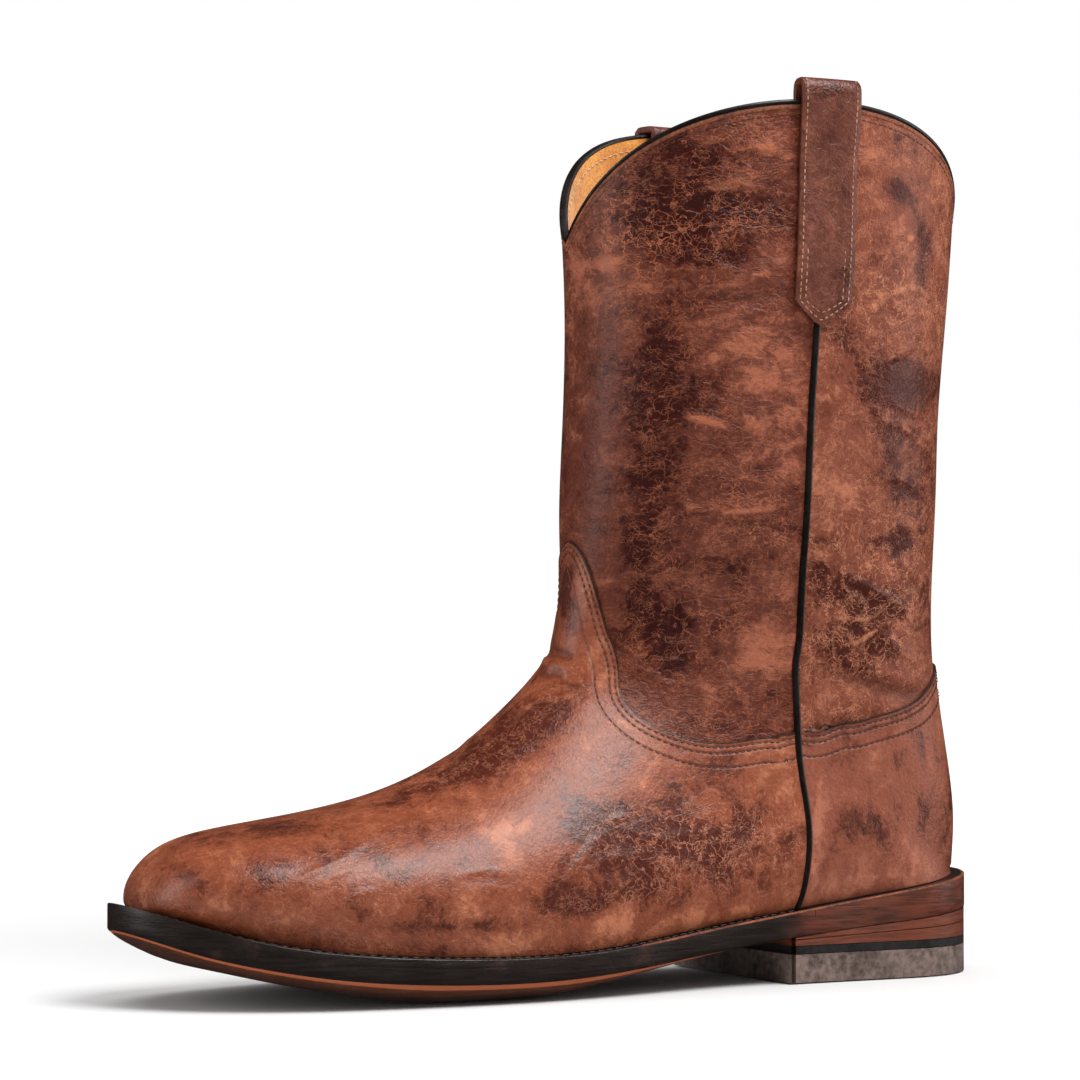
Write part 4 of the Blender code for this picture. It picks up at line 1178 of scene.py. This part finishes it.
def makePiping(name, node, side):
    # black cord in the side seam, on down between vamp and counter to the welt
    row, turn, out = seamRoute(side)
    line = smoothed(skin(row, turn, out), piping["rounds"])
    outward = outwardAt(row, turn, out)
    length = runLength(line)

    def place(u, v):
        way = v * length[-1]
        normal = follow(way, length, outward)
        across = unit(np.cross(follow(way + 0.8, length, line) - follow(way - 0.8, length, line), normal))
        angle = 2 * math.pi * u[:, None]
        lift = np.maximum(np.sin(angle), -0.5) * piping["height"]
        return follow(way, length, line) + across * piping["width"] / 2 * np.cos(angle) + normal * lift
    shape = bmesh.new()
    addGrid(shape, piping["ring"], piping["stations"], place)
    closeEnds(shape)
    finishPiece(name, shape, "blackLeather", [node])


def sewStrap(name, node, side):
    # cream rows along both edges of a strap's outer face, doubled round its point
    shape = bmesh.new()
    face = strap["thickness"] / 2
    half = strap["width"] / 2

    def row(ways, acrosses):
        line = strapSpot(ways, acrosses, np.full_like(ways, face), side)
        normal = unit(line - strapSpot(ways, acrosses, np.full_like(ways, -face), side))
        sewLine(shape, line, normal, strap["pitch"], strap["stitch"], 0.4)
    crown = strapPaths[side][0][6]
    for edgeIn, top, foot in ((1.6, crown, 1.9), (3.6, 24.0, 4.2)):
        across = 1 - edgeIn / half
        for way in (-1, 1):
            steps = np.linspace(foot, top, 160)
            row(steps, np.full_like(steps, way * across))
        steps = np.linspace(-across, across, 60)
        row(np.full_like(steps, foot), steps)
    finishPiece(name, shape, "tanThread", [node], sharp=0)


for sideName, sideSign in (("lateral", -1), ("medial", 1)):
    makeStrap(f"pullStrap_{sideName}", f"pull_strap_{sideName}", sideSign)
    sewStrap(f"strapStitches_{sideName}", f"pull_strap_{sideName}", sideSign)
    makePiping(f"sidePiping_{sideName}", f"side_piping_{sideName}", sideSign)
print("straps and piping made")

# Welt, soles and heel

def stationShare(w):
    return (1 - np.cos(math.pi * np.abs(w))) / 2


def addStrip(shape, profile, first, last, count):
    # strip along the outline with an (inset, rise) profile, its stations -1 outer heel, 0 toe, 1 inner heel
    profile = np.array(list(profile) + [profile[0]], float)
    marks = np.linspace(0, 1, len(profile))

    def place(u, v):
        w = first + (last - first) * v
        inset = np.interp(u, marks, profile[:, 0])
        rise = np.interp(u, marks, profile[:, 1])
        x, y = rim(stationShare(w), np.where(w < 0, -1.0, 1.0), inset, inset)
        return np.stack([x, y, topHeight(x) + rise], -1)
    addGrid(shape, len(profile) - 1, count, place)


def addPlate(shape, levels, first=0.0, count=110):
    # closed plate with the sole's outline from (inset, height function) levels, top to bottom, behind first
    insets = [inset for inset, height in levels]
    marks = np.linspace(0, 1, len(levels))

    def level(x, t):
        heights = np.stack([height(x) for inset, height in levels], -1)
        k = np.clip(np.floor(t * (len(levels) - 1)).astype(int), 0, len(levels) - 2)
        part = t * (len(levels) - 1) - k
        spot = np.arange(len(x))
        return heights[spot, k] * (1 - part) + heights[spot, k + 1] * part

    def wall(u, v):
        side = np.where(u < 0.5, -1.0, 1.0)
        w = first + (1 - first) * np.abs(2 * u - 1)
        inset = np.interp(v, marks, insets)
        x, y = rim(stationShare(w), side, inset, inset)
        return np.stack([x, y, level(x, v)], -1)

    def across(w, u, inset):
        x, outer = rim(stationShare(w), -1.0, inset, inset)
        x, inner = rim(stationShare(w), 1.0, inset, inset)
        return x, outer + (inner - outer) * u

    def cap(inset, height):
        def place(u, v):
            x, y = across(first + (1 - first) * v, u, inset)
            return np.stack([x, y, height(x)], -1)
        return place

    def breast(u, v):
        x, y = across(np.full_like(u, first), u, np.interp(v, marks, insets))
        return np.stack([x, y, level(x, v)], -1)
    addGrid(shape, 2 * count, len(levels) - 1, wall)
    for inset, height in (levels[0], levels[-1]):
        addGrid(shape, 40, count, cap(inset, height))
    if first > 0:
        addGrid(shape, 40, len(levels) - 1, breast)


def stationAt(share):
    return math.acos(1 - 2 * share) / math.pi


# Profiles go round from the outer edge: inset from the outline, rise over the welt's top
welt = {
    "jointAhead": 9, "cornerShare": 0.52,
    "stitchIn": 3.2, "stitchDown": 0.15, "stitchEnds": 0.01, "pitch": 3.4, "stitch": (2.9, 1.0, 0.8),
    "edge": ((0.35, 0.0), (0.1, -0.12), (0.0, -0.4), (0.0, -boot["weltThickness"])),
    "groove": ((9.6, -boot["weltThickness"]), (9.6, 0.0), (4.4, 0.0), (3.6, -0.15), (2.8, -0.15), (2.0, 0.0),
               (1.0, 0.05)),
    "plain": ((7.1, -boot["weltThickness"]), (7.1, 0.0), (1.0, 0.05)),
    "corner": ((0.9, 0.10), (0.25, 0.06), (-0.04, -0.2), (-0.04, -0.5), (0.5, -0.5), (0.9, -0.3)),
}
seamShare = 1 - (boot["seamBack"] - welt["jointAhead"]) / boot["length"]


def makeStrip(name, node, material, profile, runs, count):
    shape = bmesh.new()
    for first, last in runs:
        addStrip(shape, profile, first, last, count)
    closeEnds(shape)
    finishPiece(name, shape, material, [node])


def bothSides(station):
    return (-1, -station), (station, 1)


def makeWelt():
    joint = stationAt(seamShare)
    behind = stationAt(seamShare + boot["clearance"] / boot["length"])
    fore = stationAt(welt["cornerShare"])
    makeStrip("weltStrip", "welt", "soleEdgeLeather", welt["edge"] + welt["groove"], [(-joint, joint)], 300)
    makeStrip("heelRand", "heel_rand", "soleEdgeLeather", welt["edge"] + welt["plain"], bothSides(behind), 90)

    shape = bmesh.new()
    w = np.linspace(welt["stitchEnds"] - joint, joint - welt["stitchEnds"], 900)
    x, y = rim(stationShare(w), np.where(w < 0, -1.0, 1.0), welt["stitchIn"], welt["stitchIn"])
    line = np.stack([x, y, topHeight(x) - welt["stitchDown"]], -1)
    sewLine(shape, line, np.tile((0.0, 0.0, 1.0), (len(w), 1)), welt["pitch"], welt["stitch"], 0.3)
    finishPiece("weltStitches", shape, "blackThread", ["welt"], sharp=0)
    makeStrip("weltCorner", "welt", "rawEdge", welt["corner"], bothSides(fore), 120)


# Each level of a sole plate: inset, share of the way down, and millimetres added
# Shares up to 1 run from the welt's underside to the sole's edge, and from 1 to 2 on to the floor side
soles = {
    "outsoleEdge": ("soleEdgeLeather", (
        (0.0, 0.0, 0.0), (0.0, 0.5, 0.0), (0.0, 1.0, 0.5), (0.25, 1.0, 0.1), (0.9, 1.0, -0.1))),
    "outsoleBevel": ("soleLeather", (
        (1.5, 1.0, 1.0), (0.7, 1.0, 0.3), (0.9, 1.08, 0.0), (1.5, 1.22, 0.0), (2.4, 1.30, 0.0))),
    # the underside takes the darker tread leather as painted shade
    "outsoleBottom": ("treadLeather", (
        (2.6, 1.0, 0.8), (1.6, 1.20, 0.0), (2.4, 1.36, 0.0), (4.0, 1.5, 0.0), (7.5, 1.72, 0.0),
        (11.5, 1.90, 0.0), (16.0, 2.0, 0.0))),
}


def soleLevel(share, more):
    def height(x):
        under = topHeight(x) - boot["weltThickness"] - 0.02
        edge = edgeHeight(x)
        part = under + (edge - under) * share if share < 1 else edge + (floorHeight(x) - edge) * (share - 1)
        return part + more
    return height


def makeSoles():
    for name, (material, levels) in soles.items():
        shape = bmesh.new()
        addPlate(shape, [(inset, soleLevel(share, more)) for inset, share, more in levels])
        finishPiece(name, shape, material, ["outsole"])


heel = {"cap": 9.2, "layer": 2.7, "liftFront": 1.9, "liftBack": 5.2, "setIn": 0.15, "round": 0.2, "gap": 0.06}


def makeHeel():
    setIn = heel["setIn"]
    breastShare = (boot["length"] - boot["heelLength"] - setIn) / (boot["length"] - 2 * setIn)
    first = stationAt(breastShare)
    breastX = boot["length"] / 2 - boot["heelLength"]
    layerTop = heel["cap"] + heel["layer"]
    soft = heel["round"]
    gap = heel["gap"]

    def liftHeight(x):
        slope = (heel["liftBack"] - heel["liftFront"]) / boot["heelLength"]
        return layerTop + heel["liftFront"] + slope * (x - breastX)

    def flat(height):
        return lambda x: np.full_like(x, height)
    stack = (
        ("heelCap", "heel_cap", flat(heel["cap"]), flat(0.0), "heelRubber", "heel_rubber"),
        ("heelLayer", "heel_layer", flat(layerTop), flat(heel["cap"] + gap), "layerRubber",
         "heel_layer_rubber"),
        ("heelLiftLower", "heel_lift_lower", liftHeight, flat(layerTop + gap), "liftLeather", "lift_leather"),
        ("heelLiftUpper", "heel_lift_upper", lambda x: edgeHeight(x) - gap, lambda x: liftHeight(x) + gap,
         "liftLeather", "lift_leather"),
    )
    for name, node, upper, lower, material, slot in stack:
        shape = bmesh.new()
        addPlate(shape, [
            (setIn + soft, upper),
            (setIn, lambda x, upper=upper: upper(x) - soft * 0.6),
            (setIn, lambda x, lower=lower: lower(x) + soft * 0.6),
            (setIn + soft, lower),
        ], first, 90)
        finishPiece(name, shape, material, [node])


makeWelt()
makeSoles()
makeHeel()
bpy.data.meshes.remove(stitchForm)
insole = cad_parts["insole"]
insole.data.materials.clear()
insole.data.materials.append(materials["insoleLeather"])
print("sole and heel made")

# Floor, light and camera

studio = {
    "floorSize": 60.0, "floorDrop": 0.0004, "pale": 0.84, "fade": (0.2, 1.1), "glow": 0.6,
    "worldLight": 0.38, "mirrored": 0.03, "sun": 0.9, "sunTilt": (-8, -6, 0), "sunSpread": 45,
    "lens": 126.67, "clip": (0.05, 60.0), "cameraAt": (-0.5791, -1.0816, 0.117), "cameraTilt": (91.2, 0, -28),
}

# Name, place, aim, size and power of each lamp
lamps = (
    ("softbox", (0.30, -0.58, 1.13), (0, -0.035, 0.06), (0.75, 0.7), 13),
    ("leftSide", (-1.15, 0.40, 0.50), (0, 0, 0.15), (0.4, 1.0), 3.5),
    ("rightSide", (1.15, -0.30, 0.50), (0.05, 0, 0.15), (0.4, 1.0), 2.2),
)


def makeFloor():
    # pale ground that glows more with distance, so that it is white round the boot's shadow
    shape = bmesh.new()
    bmesh.ops.create_grid(shape, x_segments=1, y_segments=1, size=studio["floorSize"] / 2)
    bmesh.ops.translate(shape, vec=(0, 0, -studio["floorDrop"]), verts=shape.verts)
    mesh = bpy.data.meshes.new("floor")
    shape.to_mesh(mesh)
    shape.free()
    material = bpy.data.materials.new("paleFloor")
    material.use_nodes = True
    shader = material.node_tree.nodes["Principled BSDF"]
    shader.inputs["Base Color"].default_value = (*[studio["pale"]] * 3, 1)
    shader.inputs["Roughness"].default_value = 0.9
    shader.inputs["Specular IOR Level"].default_value = 0.0
    shader.inputs["Emission Color"].default_value = (1, 1, 1, 1)
    tree = material.node_tree
    away = addNode(tree, "ShaderNodeVectorMath", {0: objectPlace(tree)}, operation="LENGTH").outputs["Value"]
    glow = remap(tree, away, *studio["fade"], 0.0, studio["glow"])
    tree.links.new(glow, shader.inputs["Emission Strength"])
    mesh.materials.append(material)
    floor = bpy.data.objects.new("floor", mesh)
    bpy.context.scene.collection.objects.link(floor)
    floor.visible_glossy = False


def addLight(name, place, aim, size, power):
    light = bpy.data.lights.new(name, "AREA")
    light.shape = "RECTANGLE"
    light.size, light.size_y = size
    light.energy = power
    lamp = bpy.data.objects.new(name, light)
    lamp.location = place
    lamp.rotation_euler = (Vector(aim) - Vector(place)).to_track_quat("-Z", "Y").to_euler()
    bpy.context.scene.collection.objects.link(lamp)


def makeWorld():
    # white to the camera, softer where it lights the boot, dark in the leather's reflections
    world = bpy.data.worlds.new("studio")
    world.use_nodes = True
    tree = world.node_tree
    tree.nodes.clear()
    rays = addNode(tree, "ShaderNodeLightPath").outputs
    strengths = (studio["worldLight"], studio["mirrored"], 1.0)
    lit, mirrored, seen = (
        addNode(tree, "ShaderNodeBackground", {"Color": (1, 1, 1, 1), "Strength": strength})
        for strength in strengths)
    shown = lit
    for ray, other in (("Is Glossy Ray", mirrored), ("Is Camera Ray", seen)):
        shown = addNode(tree, "ShaderNodeMixShader", {0: rays[ray], 1: shown.outputs[0], 2: other.outputs[0]})
    addNode(tree, "ShaderNodeOutputWorld", {0: shown.outputs[0]})
    bpy.context.scene.world = world


def addSun():
    light = bpy.data.lights.new("topLight", "SUN")
    light.energy = studio["sun"]
    light.angle = math.radians(studio["sunSpread"])
    lamp = bpy.data.objects.new("topLight", light)
    lamp.rotation_euler = [math.radians(angle) for angle in studio["sunTilt"]]
    lamp.visible_glossy = False
    bpy.context.scene.collection.objects.link(lamp)


def makeCamera():
    # the photo's view: 28 degrees round to the toe side, a hand above the floor
    lens = bpy.data.cameras.new("camera")
    lens.sensor_width = 36.0
    lens.lens = studio["lens"]
    lens.clip_start, lens.clip_end = studio["clip"]
    camera = bpy.data.objects.new("camera", lens)
    camera.location = studio["cameraAt"]
    camera.rotation_euler = [math.radians(angle) for angle in studio["cameraTilt"]]
    bpy.context.scene.collection.objects.link(camera)
    bpy.context.scene.camera = camera


makeFloor()
makeWorld()
addSun()
for lamp in lamps:
    addLight(*lamp)
makeCamera()
bpy.context.scene.view_settings.view_transform = "Standard"
print("studio ready")
